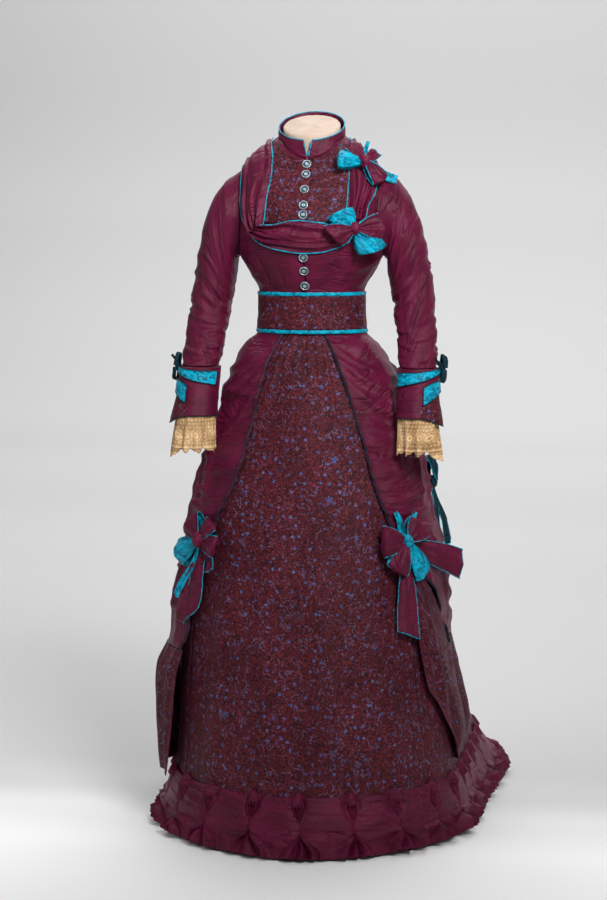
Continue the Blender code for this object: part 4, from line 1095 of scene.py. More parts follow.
def studio():
    world = bpy.data.worlds.new("studio")
    world.use_nodes = True
    background = world.node_tree.nodes["Background"]
    background.inputs["Color"].default_value = (0.97, 0.98, 1.0, 1.0)
    background.inputs["Strength"].default_value = WORLD_STRENGTH
    bpy.context.scene.world = world
    for name, facts in LIGHTS.items():
        area_light(name, *facts)
    share = np.linspace(0, 1, 60)
    y = along_table(PAPER_COURSE, share, 0)
    z = along_table(PAPER_COURSE, share, 1)
    x = np.linspace(-PAPER_HALF_WIDTH, PAPER_HALF_WIDTH, 3)
    points = np.stack(np.broadcast_arrays(x[None], y[:, None], z[:, None]), axis=-1)
    new_mesh("studio_floor", *grid_parts(points), "floor")


# Dress form


def form_ring(level, angle):
    if level < SKIRT_TOP:
        edge = skirt(angle, np.full_like(angle, level))
        share = 1 - FORM_INSET / np.hypot(edge[:, 0], edge[:, 1])
        depth = np.where(edge[:, 1] < 0, share, share * FORM_BACK_SHARE)
        return np.stack([edge[:, 0] * share, edge[:, 1] * depth, edge[:, 2]], axis=1)
    near_waist = 1 - smooth_step((abs(level - 1.020) - 0.026) / 0.030)
    inset = mix(FORM_INSET, FORM_WAIST_INSET, near_waist)
    return moved_out(torso, signed(angle), np.full_like(angle, level), np.full_like(angle, -inset))


def neck_ring(front_z, back_z, scale, angle):
    x, y = oval(angle, *(size * scale for size in FORM_NECK))
    return np.stack([x, y, mix(front_z, back_z, (1 - scale * np.cos(angle)) / 2)], axis=1)


def dress_form():
    angle = around(96)
    keys = [form_ring(level, angle) for level in (FORM_BOTTOM,) + FORM_LEVELS]
    keys.append(neck_ring(1.318, 1.368, 1.0, angle))
    keys.append(neck_ring(NECK_TOP_FRONT - 0.006, NECK_TOP_BACK - 0.006, 1.0, angle))
    rings = []
    for low, high in zip(keys[:-1], keys[1:]):
        rings += [mix(low, high, t) for t in (0.0, 0.33, 0.66)]
    rings.append(keys[-1])
    for drop, scale in NECK_CAP:
        rings.append(neck_ring(NECK_TOP_FRONT - drop, NECK_TOP_BACK - drop, scale, angle))
    floor = keys[0]
    middle = floor.mean(axis=0)
    rings = [mix(middle, floor, t) for t in (0.02, 0.6, 0.98)] + rings
    piece("form_cover", [grid_parts(np.array(rings), True)], "linen", ("form_torso",))
    for name in ("form_pole", "form_base"):
        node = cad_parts[name]
        node.data.materials.clear()
        node.data.materials.append(MATERIALS["stand"])


# Bodice


def seam_dips(across):
    """The cloth turns in a little at both side edges of a panel."""
    low = across.min(axis=1, keepdims=True)
    high = across.max(axis=1, keepdims=True)
    return -SEAM_DEPTH * (bell(across - low, SEAM_WIDTH) + bell(high - across, SEAM_WIDTH))


def rows_between(start, end, count):
    """Angles from a start to an end for each row."""
    return start[:, None] + (end - start)[:, None] * np.linspace(0, 1, count)


def armhole_turn(level, reach):
    across = (level - ARMHOLE_LEVEL) / ARMHOLE_HALF_HEIGHT
    return reach * np.sqrt(np.clip(1 - across * across, 0, 1))


def bodice():
    level = np.linspace(BODICE_BOTTOM, NECK_LEVEL, 84)
    start = np.full_like(level, SEAM_TURN)
    quarter = np.pi / 2
    for side, sign in (("left", 1), ("right", -1)):
        seed = 11 if sign > 0 else 21
        front_end = quarter - armhole_turn(level, ARMHOLE_FRONT) - SEAM_TURN
        back_start = quarter + armhole_turn(level, ARMHOLE_BACK) + SEAM_TURN
        for part, first, last, rows in (
            ("front", start, front_end, BODICE_FRONT_CREASES[side]),
            ("back", back_start, np.pi - start, BODICE_BACK_CREASES[side]),
        ):
            angle = rows_between(first, last, 46)
            height = np.broadcast_to(level[:, None], angle.shape)
            base = torso(angle, height)
            across, _ = cloth_lengths(base)
            free = smooth_step((height - 1.047) / 0.020)
            lift = creases(np.degrees(angle), height, rows, TORSO_SCALE) * free
            small = crinkle(across, height, seed, *WRINKLES["bodice_" + part])
            calm = np.where(height < 1.125, 1.0, 0.45 if part == "front" else 0.9)
            lift = np.clip(BODICE_CREASE_STRENGTH * lift + small * calm * free, *BODICE_LIFT)
            points = moved_out(torso, angle, height, lift + seam_dips(across))
            points = points if sign > 0 else mirrored(points)
            cloth(f"bodice_{part}_{side}", points, "plum_silk", lining="lining", held="stretched")


def vest():
    level = np.linspace(VEST_BOTTOM, VEST_TOP, 60)
    angle = rows_between(-np.radians(column(VEST, level, 1)), np.radians(column(VEST, level, 2)), 90)
    height = np.broadcast_to(level[:, None], angle.shape)
    across, _ = cloth_lengths(torso(angle, height))
    front_edge = 0.0009 * (smooth_step((across + 0.0135) / 0.0016) - smooth_step((across - 0.0165) / 0.012))
    soft = crinkle(across, height, 31, *WRINKLES["vest"])
    points = moved_out(torso, angle, height, LAYER_LIFT + front_edge + soft)
    cloth("plastron", points, "brocade", held="laid", rests_on=("bodice_front_left", "bodice_front_right"))


def collar():
    t = np.linspace(0, 1, 16)[:, None]
    start = mix(math.radians(0.6), COLLAR_NOTCH, t)
    angle = start + (2 * np.pi - 2 * start) * np.linspace(0, 1, 150)
    foot = torso(signed(angle), np.full_like(angle, NECK_LEVEL))
    x, y = oval(angle, *COLLAR_TOP)
    top_z = mix(COLLAR_FRONT_Z, COLLAR_BACK_Z, (1 - np.cos(angle)) / 2)
    top = np.stack([x, y, top_z], axis=-1)
    foot = foot + np.array([0, 0, 0.0004])
    points = mix(foot, top, t[..., None])
    normal = grid_normals(points, False)
    across, along = cloth_lengths(points)
    lift = 0.0012 * np.sin(np.pi * t) + crinkle(across, along, 41, *WRINKLES["collar"])
    points = points + normal * (lift - 0.0006)[..., None]
    cloth("collar", points, "plum_silk", held="stretched", lining="plum_silk")
    edge = np.concatenate([points[2:, 0], points[-1, 1:-1], points[2:, -1][::-1]])
    inward = np.array([0, 0, 0.0006])
    piece("collar_piping", [tube_parts(edge + inward, PIPING)], "teal_satin")


def buttons():
    """Turned buttons with a raised rim, a sunk ring painted dark as painted shade, and a star of facets."""
    turn = around(32)
    for number, (level, lift) in enumerate(BUTTONS, 1):
        place = torso(np.array(0.0), np.array(level))
        out = outward(torso, np.array(0.0), np.array(level))
        across = unit(np.cross((0, 0, 1), out))
        up = np.cross(out, across)
        rings = []
        for radius, height in BUTTON_PROFILE:
            facets = FACET_DEPTH if 2.0 < radius < 5.0 else 0.0
            star = 1 + facets * np.cos(FACETS * turn + number)
            circle = np.cos(turn)[:, None] * across + np.sin(turn)[:, None] * up
            rings.append(place + out * (lift + height / 1000) + (radius / 1000 * star)[:, None] * circle)
        # The faces of the sunk ring take the dark material, a painted shade in the hollow.
        hollow = np.zeros((len(BUTTON_PROFILE) - 1, len(turn)), bool)
        hollow[BUTTON_PAINTED_SHADE[0]:BUTTON_PAINTED_SHADE[1]] = True
        name = f"button_{number}"
        parts = [grid_parts(np.array(rings), True)]
        piece(name + "_turned", parts, "button", (name,), second=("button_painted_shade", hollow))


def band(name, table, base, flip, seed, gather, tuck=False):
    """A pleated band of the shoulder drapery, piped along both edges."""
    along = np.linspace(0, 1, 84)[:, None]
    u = np.linspace(0, 1, 54)[None]
    angle = np.radians(mix(along_table(table, along, 0), along_table(table, along, 2), u))
    level = mix(along_table(table, along, 1), along_table(table, along, 3), u)
    skew = u + 0.04 * np.sin(5 * along) + 0.05 * np.sin(2 * np.pi * u + 3 * along)
    main = 0.5 - 0.5 * np.cos(2 * np.pi * BAND_PLEATS * skew)
    fine = folded(BAND_PLEATS * 1.5 * (skew + 0.03 * np.sin(9 * along)) + 0.2)
    tight = bell(along - gather, 0.22)
    calm = 0.40 + 0.60 * bell(along - gather, 0.55)
    lift = base + BAND_PLEAT_DEPTH * (0.85 * calm * main**1.6 + (0.20 + 0.60 * tight) * fine)
    tucked = bell(along - 1.0, 0.06) if tuck else 0.0
    lift = lift - 0.0024 * tucked
    edge = np.minimum(u, 1 - u)
    lift = lift - 0.0022 * bell(edge, 0.02)
    flat = moved_out(torso, angle, level, np.zeros_like(level))
    across, down = cloth_lengths(flat)
    lift = lift + crinkle(across, down, seed, *WRINKLES["drapery"])
    lift = np.maximum(lift, LAYER_LIFT + 0.0004)
    points = moved_out(torso, angle, level, lift)
    first, last = points[:, 0], points[:, -1]
    made = points[:, ::-1] if flip else points
    cloth(name, made, "plum_silk", held="draped", lining="plum_silk",
          rests_on=("bodice_front_left", "bodice_front_right", "plastron"))
    out_first = outward(torso, angle[:, 0], level[:, 0]) * 0.0004
    out_last = outward(torso, angle[:, -1], level[:, -1]) * 0.0004
    parts = [tube_parts(first + out_first, PIPING), tube_parts(last + out_last, PIPING)]
    piece(f"{name}_piping", parts, "teal_satin")


def drapery():
    band("drape_right", RIGHT_BAND, BAND_LIFT, False, 51, 1.0, tuck=True)
    band("drape_front", SWAG_BAND, SWAG_LIFT, False, 52, 0.0)
    band("drape_left", LEFT_BAND, BAND_LIFT, True, 53, 0.9)


def belt_grid(low, high, rows, rise, bulge, seed):
    height = np.linspace(low, high, rows)[:, None]
    angle = around(144)[None]
    share = (height - low) / (high - low)
    lift = rise + bulge * np.sin(np.pi * share)
    ring = [column(BELT, height, i) + lift for i in range(1, 4)]
    x, y = oval(angle, *ring)
    points = np.stack(np.broadcast_arrays(x, y, height), axis=-1)
    normal = grid_normals(points, True)
    soft = wrinkled_round(angle, height, seed, "belt", BELT_WRINKLES_ROUND)
    return points + normal * soft[..., None]


def belt():
    bottom, top = BELT[0][0], BELT[-1][0]
    on = ("form_torso", "bodice_front_left", "bodice_front_right")
    low, high = bottom + BELT_EDGE + 0.0003, top - BELT_EDGE - 0.0003
    cloth("belt_band", belt_grid(low, high, 20, 0.0, 0.0004, 61), "brocade", closed=True, held="stretched",
          rests_on=on, lining="lining")
    for end, a, b in (("bottom", bottom, bottom + BELT_EDGE), ("top", top - BELT_EDGE, top)):
        edging = belt_grid(a, b, 8, BELT_EDGE_RISE - 0.0004, 0.0010, 62)
        cloth(f"belt_edge_{end}", edging, "teal_satin", closed=True, held="stretched", rests_on=on)


# Sleeves and cuffs


def ring_points(row, turn, grow=0.0):
    x, y, z, tilt, across, depth = row
    tilt = np.radians(tilt)
    reach = (across + grow) * np.cos(turn)
    return np.stack(np.broadcast_arrays(x + np.cos(tilt) * reach, y - (depth + grow) * np.sin(turn),
                                        z + np.sin(tilt) * reach), axis=-1)


def sleeve_surface(s, turn):
    """A point of the left sleeve: s is 0 at the armhole and 1 at the first ring."""
    level = ARMHOLE_LEVEL + ARMHOLE_HALF_HEIGHT * np.cos(turn)
    reach = np.where(np.sin(turn) >= 0, -ARMHOLE_FRONT, ARMHOLE_BACK)
    angle = np.pi / 2 + reach * np.abs(np.sin(turn))
    hole = torso(angle, level) + np.array([0.0006, 0, 0])
    rows = [(i, *row) for i, row in enumerate(SLEEVE)]
    ring = ring_points([column(rows, np.maximum(s - 1, 0), i) for i in range(1, 7)], turn)
    return mix(hole, ring, np.clip(s, 0, 1)[..., None])


def sleeves():
    s = np.concatenate([np.linspace(0, 1, 12)[:-1], np.linspace(1, len(SLEEVE), 112)])[:, None]
    turn = around(84)[None]
    base = sleeve_surface(s, turn)
    normal = grid_normals(base, True)
    down = cloth_lengths(base, True)[1][:, 26][:, None]
    for side, sign, seed in (("left", 1, 71), ("right", -1, 81)):
        lift = creases(np.degrees(turn), down, SLEEVE_CREASES[side], SLEEVE_SCALE)
        lower = smooth_step((down - 0.06) / 0.10)
        broad = wrinkled_round(turn, down, seed, "sleeve", SLEEVE_WRINKLES_ROUND)
        fine = wrinkled_round(turn, down, seed + 3, "sleeve_fine", SLEEVE_WRINKLES_ROUND * 2)
        lift = lift + broad * (0.35 + 0.65 * lower) + fine * lower
        ease = np.cos(turn * 30) * smooth_step(np.cos(turn) * 1.4) * bell(down, 0.016)
        lift = lift + 0.0011 * ease - 0.0008 * bell(down, 0.004)
        lift = lift * smooth_step(down / 0.004 + 0.25)
        points = base + normal * np.clip(lift, *SLEEVE_LIFT)[..., None]
        cloth(f"sleeve_{side}", for_side(points, sign), "plum_silk", closed=True, lining="lining")


def cuff_surface(down, turn, grow=0.0):
    """A point of the left cuff: down is 0 at its top and 1 at its lower edge."""
    ring = ring_points([along_table(CUFF, down, i) for i in range(6)], turn, grow)
    tip = np.maximum(0.0, np.cos(turn)) ** 3 * smooth_step((down - 0.55) / 0.45)
    return ring + np.stack(np.broadcast_arrays(CUFF_TIP_OUT * tip, 0 * tip, -CUFF_TIP_DROP * tip), axis=-1)


def cuffs():
    down = np.linspace(0, 1, 28)[:, None]
    turn = around(96)[None]
    base = cuff_surface(down, turn)
    normal = grid_normals(base, True)
    degrees = np.degrees(turn)
    degrees = np.where(degrees > 180, degrees - 360, degrees)
    middle_down = (down[:-1] + down[1:]) / 2
    edge_line = 0.44 + 0.30 * smooth_step((degrees + 20) / 90)
    figured_part = (middle_down > edge_line) & (degrees > -75) & (degrees < 74)
    for side, sign, seed in (("left", 1, 91), ("right", -1, 95)):
        lift = wrinkled_round(turn, down * CUFF_DEPTH, seed, "cuff", SLEEVE_WRINKLES_ROUND)
        points = base + normal * lift[..., None]
        mask = np.broadcast_to(figured_part, (27, 96))
        mask = mask if sign > 0 else np.roll(mask[:, ::-1], -1, axis=1)
        cloth(f"cuff_{side}", for_side(points, sign), "plum_silk", closed=True, lining="lining",
              rests_on=(f"sleeve_{side}",), second=("brocade", mask))
        edge = for_side(points[-1:], sign)[0]
        piping = [tube_parts(edge, THIN_PIPING, closed=True)]
        for part, table in (("upper", UPPER_STRAP), ("lower", LOWER_STRAP)):
            share = np.linspace(0, 1, 56)[None]
            width = np.linspace(0, 1, 14)[:, None]
            strap_turn = np.radians(along_table(table, share, 0))
            strap_down = mix(along_table(table, share, 1), along_table(table, share, 2), width)
            strap_turn = np.broadcast_to(strap_turn, strap_down.shape)
            a, b = cloth_lengths(cuff_surface(strap_down, strap_turn))
            soft = crinkle(a, b, seed + 7, *WRINKLES["strap"])
            strap = cuff_surface(strap_down, strap_turn)
            out = grid_normals(strap, False)
            strap = strap + out * (LAYER_LIFT + 0.0004 + 0.0004 * np.sin(np.pi * width) + soft)[..., None]
            placed = for_side(strap, sign)
            cloth(f"cuff_band_{part}_{side}", placed, "teal_satin", held="laid",
                  rests_on=(f"cuff_{side}",), wall=RIBBON_WALL)
            piping += [tube_parts(placed[0], THIN_PIPING), tube_parts(placed[-1], THIN_PIPING)]
            if part == "lower":
                piping.append(tube_parts(placed[:, -1 if sign > 0 else 0], THIN_PIPING))
        piece(f"cuff_piping_{side}", piping, "dark_satin")


def lace_frills():
    t = np.linspace(0, 1, 24)[:, None]
    turn = around(180)[None]
    for side, sign, phase in (("left", 1, 0.4), ("right", -1, 1.9)):
        swing = turn + 0.10 * np.sin(3 * turn + phase)
        wave = np.cos(LACE_WAVES * swing)
        fine = np.cos(2 * LACE_WAVES * swing + phase)
        depth = (0.0056 + 0.0016 * np.sin(2 * turn + phase)) * t**0.8
        radius = mix(LACE_TOP_RADIUS, LACE_HEM_RADIUS, t) + depth * wave + 0.0010 * t * fine
        outer = np.maximum(0.0, np.cos(turn)) ** 3
        scallop = LACE_SCALLOP * np.abs(np.sin(LACE_WAVES * swing + 0.7)) * smooth_step((t - 0.82) / 0.18)
        z = mix(LACE_TOP, LACE_BOTTOM, t) - 0.004 * t * wave - 0.012 * t * outer + 0.003 - scallop
        x = LACE_MIDDLE + 0.004 * t + radius * np.cos(turn)
        y = 0.004 - (radius + LACE_DEPTH) * np.sin(turn)
        points = np.stack(np.broadcast_arrays(x, y, z), axis=-1)
        cloth(f"cuff_lace_{side}", for_side(points, sign), "lace", closed=True, held="gathered",
              wall=LACE_WALL, rests_on=(f"cuff_{side}",))


# Skirts


def panel(name, fabric, surface, first, last, heights, steps, rows, seed, small, fold=None, mirror=False,
          dips=True, **facts):
    """A skirt panel between two edges, given as arrays of angles for each height."""
    angle = rows_between(first, last, steps)
    height = np.broadcast_to(heights[:, None], angle.shape)
    base = surface(angle, height)
    across, _ = cloth_lengths(base)
    lift = 0.0
    if rows:
        lift = SKIRT_CREASE_STRENGTH * creases(np.degrees(angle), height, rows, SKIRT_SCALE)
    lift = lift + crinkle(across, height, seed, *small)
    lift = lift * smooth_step((SKIRT_TOP - height) / 0.03)
    if fold is not None:
        lift = lift + fold(angle, height, across)
    if dips:
        lift = lift + seam_dips(across)
    points = base + outward(surface, angle, height) * lift[..., None]
    points = mirrored(points) if mirror else points
    cloth(name, points, fabric, **facts)
    return points


def underskirt():
    side, back = SKIRT_FRONT_SEAM, SKIRT_BACK_SEAM
    heights = np.linspace(SKIRT_BOTTOM, SKIRT_TOP, 130)
    flat = np.ones_like(heights)

    def front_gathers(angle, height, across):
        near = smooth_step((height - 0.885) / 0.06) * smooth_step((SKIRT_TOP - 0.012 - height) / 0.02)
        return 0.0010 * near * np.abs(np.sin(across * 260 + 1.4 * np.sin(across * 70)))

    panel("skirt_front", "brocade", skirt, flat * (SEAM_TURN - side), flat * (side - SEAM_TURN), heights,
          112, SKIRT_FRONT_CREASES, 101, WRINKLES["skirt_front"], front_gathers, lining="lining")
    heights = np.linspace(SKIRT_BOTTOM, SKIRT_TOP, 48)
    flat = np.ones_like(heights)

    def hanging(angle, height, across):
        return 0.006 * np.cos(across * 52 + 2 * np.sin(across * 9)) * smooth_step((0.80 - height) / 0.5)

    for name, a, b, steps, seed, fold in (
        ("skirt_left", side, back, 26, 103, None),
        ("skirt_right", -back, -side, 26, 105, None),
        ("skirt_back", back, 2 * np.pi - back, 44, 107, hanging),
    ):
        panel(name, "brocade", skirt_turned, flat * (a + SEAM_TURN), flat * (b - SEAM_TURN), heights, steps,
              (), seed, WRINKLES["skirt"], fold, lining="lining")


def overskirt_turned(angle, height):
    """The overskirt behind its side seams, where it swells in broad puffs."""
    turn = signed(angle)
    swag = np.sin(np.pi * (height - 0.30) / 0.11) * smooth_step((np.abs(turn) - BACK_SEAM_ANGLE) / 0.5)
    fade = smooth_step((0.93 - height) / 0.10)
    return overskirt_point(turn, height, BACK_SWAG_HEIGHT * swag * fade)


def side_surface(sign):
    """The overskirt's surface for the left side (1) or, mirrored, the right side (-1)."""
    def surface(angle, height):
        return overskirt_point(sign * angle, height) * np.array([sign, 1, 1])

    return surface


def pushed_out(line, distance):
    """A line moved level and away from the middle of the dress."""
    return line + unit(line * np.array([1, 1, 0])) * distance


def overskirt():
    heights = np.linspace(OVERSKIRT_BOTTOM, SKIRT_TOP, 130)
    for side, sign, index, seed in (("left", 1, 2, 111), ("right", -1, 1, 115)):
        edge = np.radians(column(OPENING, heights, index))
        seam = np.full_like(edge, BACK_SEAM_ANGLE - SEAM_TURN)

        def rolled_edge(angle, height, across):
            low = across.min(axis=1, keepdims=True)
            from_edge = across - low
            roll = 0.0016 * bell(from_edge - 0.004, 0.003)
            near = bell(from_edge, 0.030)
            return roll + 0.0008 * near * folded(height * 27 + 0.6 * np.sin(height * 37))

        points = panel(f"overskirt_{side}", "plum_silk", side_surface(sign), edge, seam, heights, 82,
                       OVERSKIRT_CREASES[side], seed, WRINKLES["overskirt"], rolled_edge,
                       mirror=sign < 0, lining="lining", held="draped",
                       rests_on=("skirt_front", "skirt_" + side))
        front = points[:, 0] if sign > 0 else points[:, -1]
        second = points[:, 1] if sign > 0 else points[:, -2]
        keep = heights < 0.968
        out = unit(front * np.array([1, 1, 0])) * EDGE_LIFT
        lines = [tube_parts(line[keep], THIN_PIPING) for line in (front + out, second + 1.6 * out)]
        piece(f"overskirt_{side}_piping", lines, "dark_satin")
    heights = np.linspace(OVERSKIRT_BACK_BOTTOM, SKIRT_TOP, 112)
    first = np.full_like(heights, BACK_SEAM_ANGLE + SEAM_TURN)

    def puffs(angle, height, across):
        across_share = np.abs(across) / np.maximum(np.abs(across).max(axis=1, keepdims=True), 1e-6)
        fall = 0.060 * (1 - across_share**2)
        swell = np.sin((height + fall) * 2 * np.pi / 0.105 + 0.5 * np.sin(across * 12))
        return BACK_PUFF_HEIGHT * swell * (1 - across_share**3) * smooth_step((0.95 - height) / 0.08)

    panel("overskirt_back", "plum_silk", overskirt_turned, first, 2 * np.pi - first, heights, 108,
          OVERSKIRT_BACK_CREASES, 119, WRINKLES["overskirt_back"], puffs, lining="lining", held="draped",
          rests_on=("skirt_back",))


def side_drapery():
    under = OVERSKIRT_BOTTOM - 0.0006
    below = np.linspace(TAIL_BOTTOM_LEFT, under - 0.0015, 74)
    above = np.linspace(0.356, TAIL_LEFT_TOP, 30)
    for side, sign, index, heights, seed in (
        ("left", 1, 2, np.concatenate([below, [under], above]), 121),
        ("right", -1, 1, np.linspace(TAIL_BOTTOM_RIGHT, under, 84), 125),
    ):
        edge = np.radians(column(TAIL, heights, index))
        back = np.full_like(edge, TAIL_BACK_ANGLE)
        if sign > 0:
            back = np.where(heights >= under, np.radians(column(OPENING, heights, index)) - 0.006, back)

        def loose(angle, height, across, sign=sign):
            inward = across - across.min(axis=1, keepdims=True)
            calm = smooth_step((0.345 - height) / 0.10)
            turned = 0.0030 * bell(inward, 0.006)
            behind = smooth_step((angle - 1.35) / 0.5)
            turned = turned - 0.016 * behind * smooth_step((0.17 - height) / 0.06)
            return turned + 0.0040 * calm * np.cos(inward * 95 + sign) * smooth_step(inward / 0.03)

        points = panel(f"side_drape_{side}", "brocade", side_surface(sign), edge, back, heights, 54,
                       SIDE_DRAPE_CREASES[side], seed, WRINKLES["side_drapery"], loose,
                       mirror=sign < 0, dips=False, lining="plum_silk", held="draped",
                       rests_on=("overskirt_" + side, "skirt_" + side))
        front = points[:, 0] if sign > 0 else points[:, -1]
        lines = (pushed_out(front[heights < 0.49], EDGE_LIFT), points[0])
        piece(f"side_drape_{side}_edge", [tube_parts(line, PIPING) for line in lines], "plum_silk")


# Flounce


def hem_point(angle):
    half_width, front, back, sway, flare = HEM
    x, y = flared_oval(angle, half_width, front, back, flare)
    return np.stack([x + sway, y, np.full_like(x, HEM_HEIGHT)], axis=-1)


def hem_angles(places):
    """Angles for places counted in clusters round the hem, from the centre back."""
    fine = np.linspace(-np.pi, np.pi, 2881)
    steps = np.linalg.norm(np.diff(hem_point(fine), axis=0), axis=1)
    lengths = np.concatenate([[0], np.cumsum(steps)])
    return np.interp(np.asarray(places) / FLOUNCE_CLUSTERS * lengths[-1], lengths, fine)


def gather_of(places):
    """For each place: its share of the way from its gather, and the gather's number, size and lean."""
    table = np.array(GATHERS)
    number = len(table)
    before, after = table[-1:, 0] - FLOUNCE_CLUSTERS, table[:1, 0] + FLOUNCE_CLUSTERS
    centers = np.concatenate([before, table[:, 0], after])
    low = np.clip(np.searchsorted(centers, places, side="right") - 1, 0, number)
    gap = centers[low + 1] - centers[low]
    from_low = (places - centers[low]) / gap
    nearest = np.where(from_low < 0.5, low, low + 1)
    which = (nearest - 1) % number
    return np.where(from_low < 0.5, from_low, from_low - 1), which, table[which, 1], table[which, 2]


def flounce_places(first, last):
    """Places along one piece, closer together at the gathers."""
    fine = np.linspace(first, last, 4000)
    near = np.abs(gather_of(fine)[0])
    step = np.where(near < 0.14, 0.009, np.where(near < 0.40, 0.022, 0.045))
    seen = (fine > FINE_PLACES[0]) & (fine < FINE_PLACES[1])
    step = step * np.where(seen, 1.0, 2.0)
    count = np.concatenate([[0], np.cumsum(np.diff(fine) / step[1:])])
    return np.interp(np.linspace(0, count[-1], int(count[-1]) + 2), count, fine)


def folded(turns):
    """Crisp folds: a wave from -1 to 1 with straight sides and slightly rounded tops."""
    return np.arcsin(0.96 * np.cos(2 * np.pi * turns)) / np.arcsin(0.96)


def flounce():
    t = np.concatenate([np.linspace(0, 0.14, 9)[:-1], np.linspace(0.14, 1.0, 36)])[:, None]
    for name, first, last in FLOUNCE_CUTS:
        places = flounce_places(first + FLOUNCE_GAP, last - FLOUNCE_GAP)[None]
        angle = hem_angles(places)
        s, number, size, lean = gather_of(places)
        level = np.full_like(angle, FLOUNCE_TOP)
        top = moved_out(skirt_turned, angle, level, np.full_like(angle, FLOUNCE_TOP_OFF))
        hem = hem_point(angle)
        out = hem - top
        out[..., 2] = 0
        out = unit(out)
        wander = s - 0.030 * np.sin(5 * t + 2.1 * number)
        belly = FLOUNCE_BELLY * np.sin(np.pi * t) * smooth_step((np.abs(s) - 0.05) / 0.20)
        high = np.sin(np.pi * np.clip(t / 0.18, 0, 1)) ** 0.8
        puff = PUFF_HEIGHT * bell(wander, PUFF_WIDTH) * high * (0.75 + 0.25 * size)
        hollow = -HOLLOW_DEPTH * bell(np.abs(wander) - 0.150, 0.035) * bell(t - 0.10, 0.12)
        window = smooth_step((t - 0.06) / 0.08) * smooth_step((0.66 - t) / 0.12)
        stalk = STALK_HEIGHT * np.exp(-(wander / STALK_WIDTH) ** 4)
        for groove in GATHER_GROOVES:
            line = groove * (1 + 0.25 * np.sin(7 * t + number))
            stalk = stalk - GROOVE_DEPTH * bell(wander - line, GROOVE_WIDTH)
        stalk = stalk * window
        pinch = -PINCH_DEPTH * bell(wander, 0.12) * bell(t - 0.54, 0.05)
        spread = 0.070 + 0.290 * smooth_step((t - 0.50) / 0.46)
        q = (wander - 0.10 * lean * smooth_step((t - 0.5) / 0.5)) / spread
        grow = smooth_step((t - 0.52) / 0.30)
        edge = smooth_step((1.12 - np.abs(q)) / 0.20)
        bend = q * (1.10 + 0.16 * np.sin(number * 1.9)) + 0.16 * np.sin(2.4 * q + 1.7 * number)
        fan = size * grow * edge * (FAN_FOLD * folded(bend * 1.25) * (0.35 + 0.65 * grow) + FAN_HEIGHT)
        arc = places * GATHER_SPACING
        flat = smooth_step((np.abs(s) - 0.10) / 0.08)
        down = t * FLOUNCE_DEPTH
        strips = crinkle(arc, down, 131, *WRINKLES["flounce_strips"]) * flat
        strips = strips * (1 - 0.75 * smooth_step((t - 0.5) / 0.2))
        creased = crinkle(arc, down, 137, *WRINKLES["flounce_creases"]) * flat
        creased = creased * smooth_step((t - 0.45) / 0.2)
        fold_line = 0.60 + 0.09 * np.abs(s) + 0.03 * np.sin(number * 2.3)
        roll = ROLL_HEIGHT * smooth_step((t - fold_line + 0.05) / 0.05) * bell(t - fold_line, 0.13)
        roll = roll * smooth_step((np.abs(s) - 0.09) / 0.10)
        roll = roll * (1.0 + 0.6 * np.sin(number * 1.7 + 2 * np.sign(s)))
        flare = FLOUNCE_FLARE * smooth_step((t - 0.62) / 0.38)
        draw = np.where(np.sin(angle) > 0, *SIDE_DRAW) * np.abs(np.sin(angle)) * t
        reach = belly + puff + hollow + stalk + pinch + fan + strips + creased + roll + flare - draw
        points = mix(top, hem, t[..., None]) + out * reach[..., None]
        rise = 0.0110 * bell(t, 0.07) * bell(s, 0.10)
        rise = rise + 0.45 * np.maximum(fan, 0) * t**2
        rise = rise + 0.0026 * t**2 * (0.5 + 0.5 * noise(places * 1.6, 0 * t, 139))
        points[..., 2] += rise
        pull = -GATHER_PULL * np.sin(np.pi * np.clip(s / 0.32, -1, 1)) * bell(t - 0.52, 0.20)
        along_hem = unit(np.gradient(hem[0], axis=0))[None]
        points = points + along_hem * pull[..., None]
        points[..., 2] = np.maximum(points[..., 2], HEM_CLEARANCE)
        cloth(f"flounce_{name}", points[::-1], "plum_silk", held="gathered", lining="plum_silk",
              rests_on=("skirt_front", "skirt_back"))


# Bows


def facing(degrees, tilt=0.0):
    angle = math.radians(degrees)
    rise = math.sin(math.radians(tilt))
    flat = math.cos(math.radians(tilt))
    return np.array([math.sin(angle) * flat, -math.cos(angle) * flat, rise])


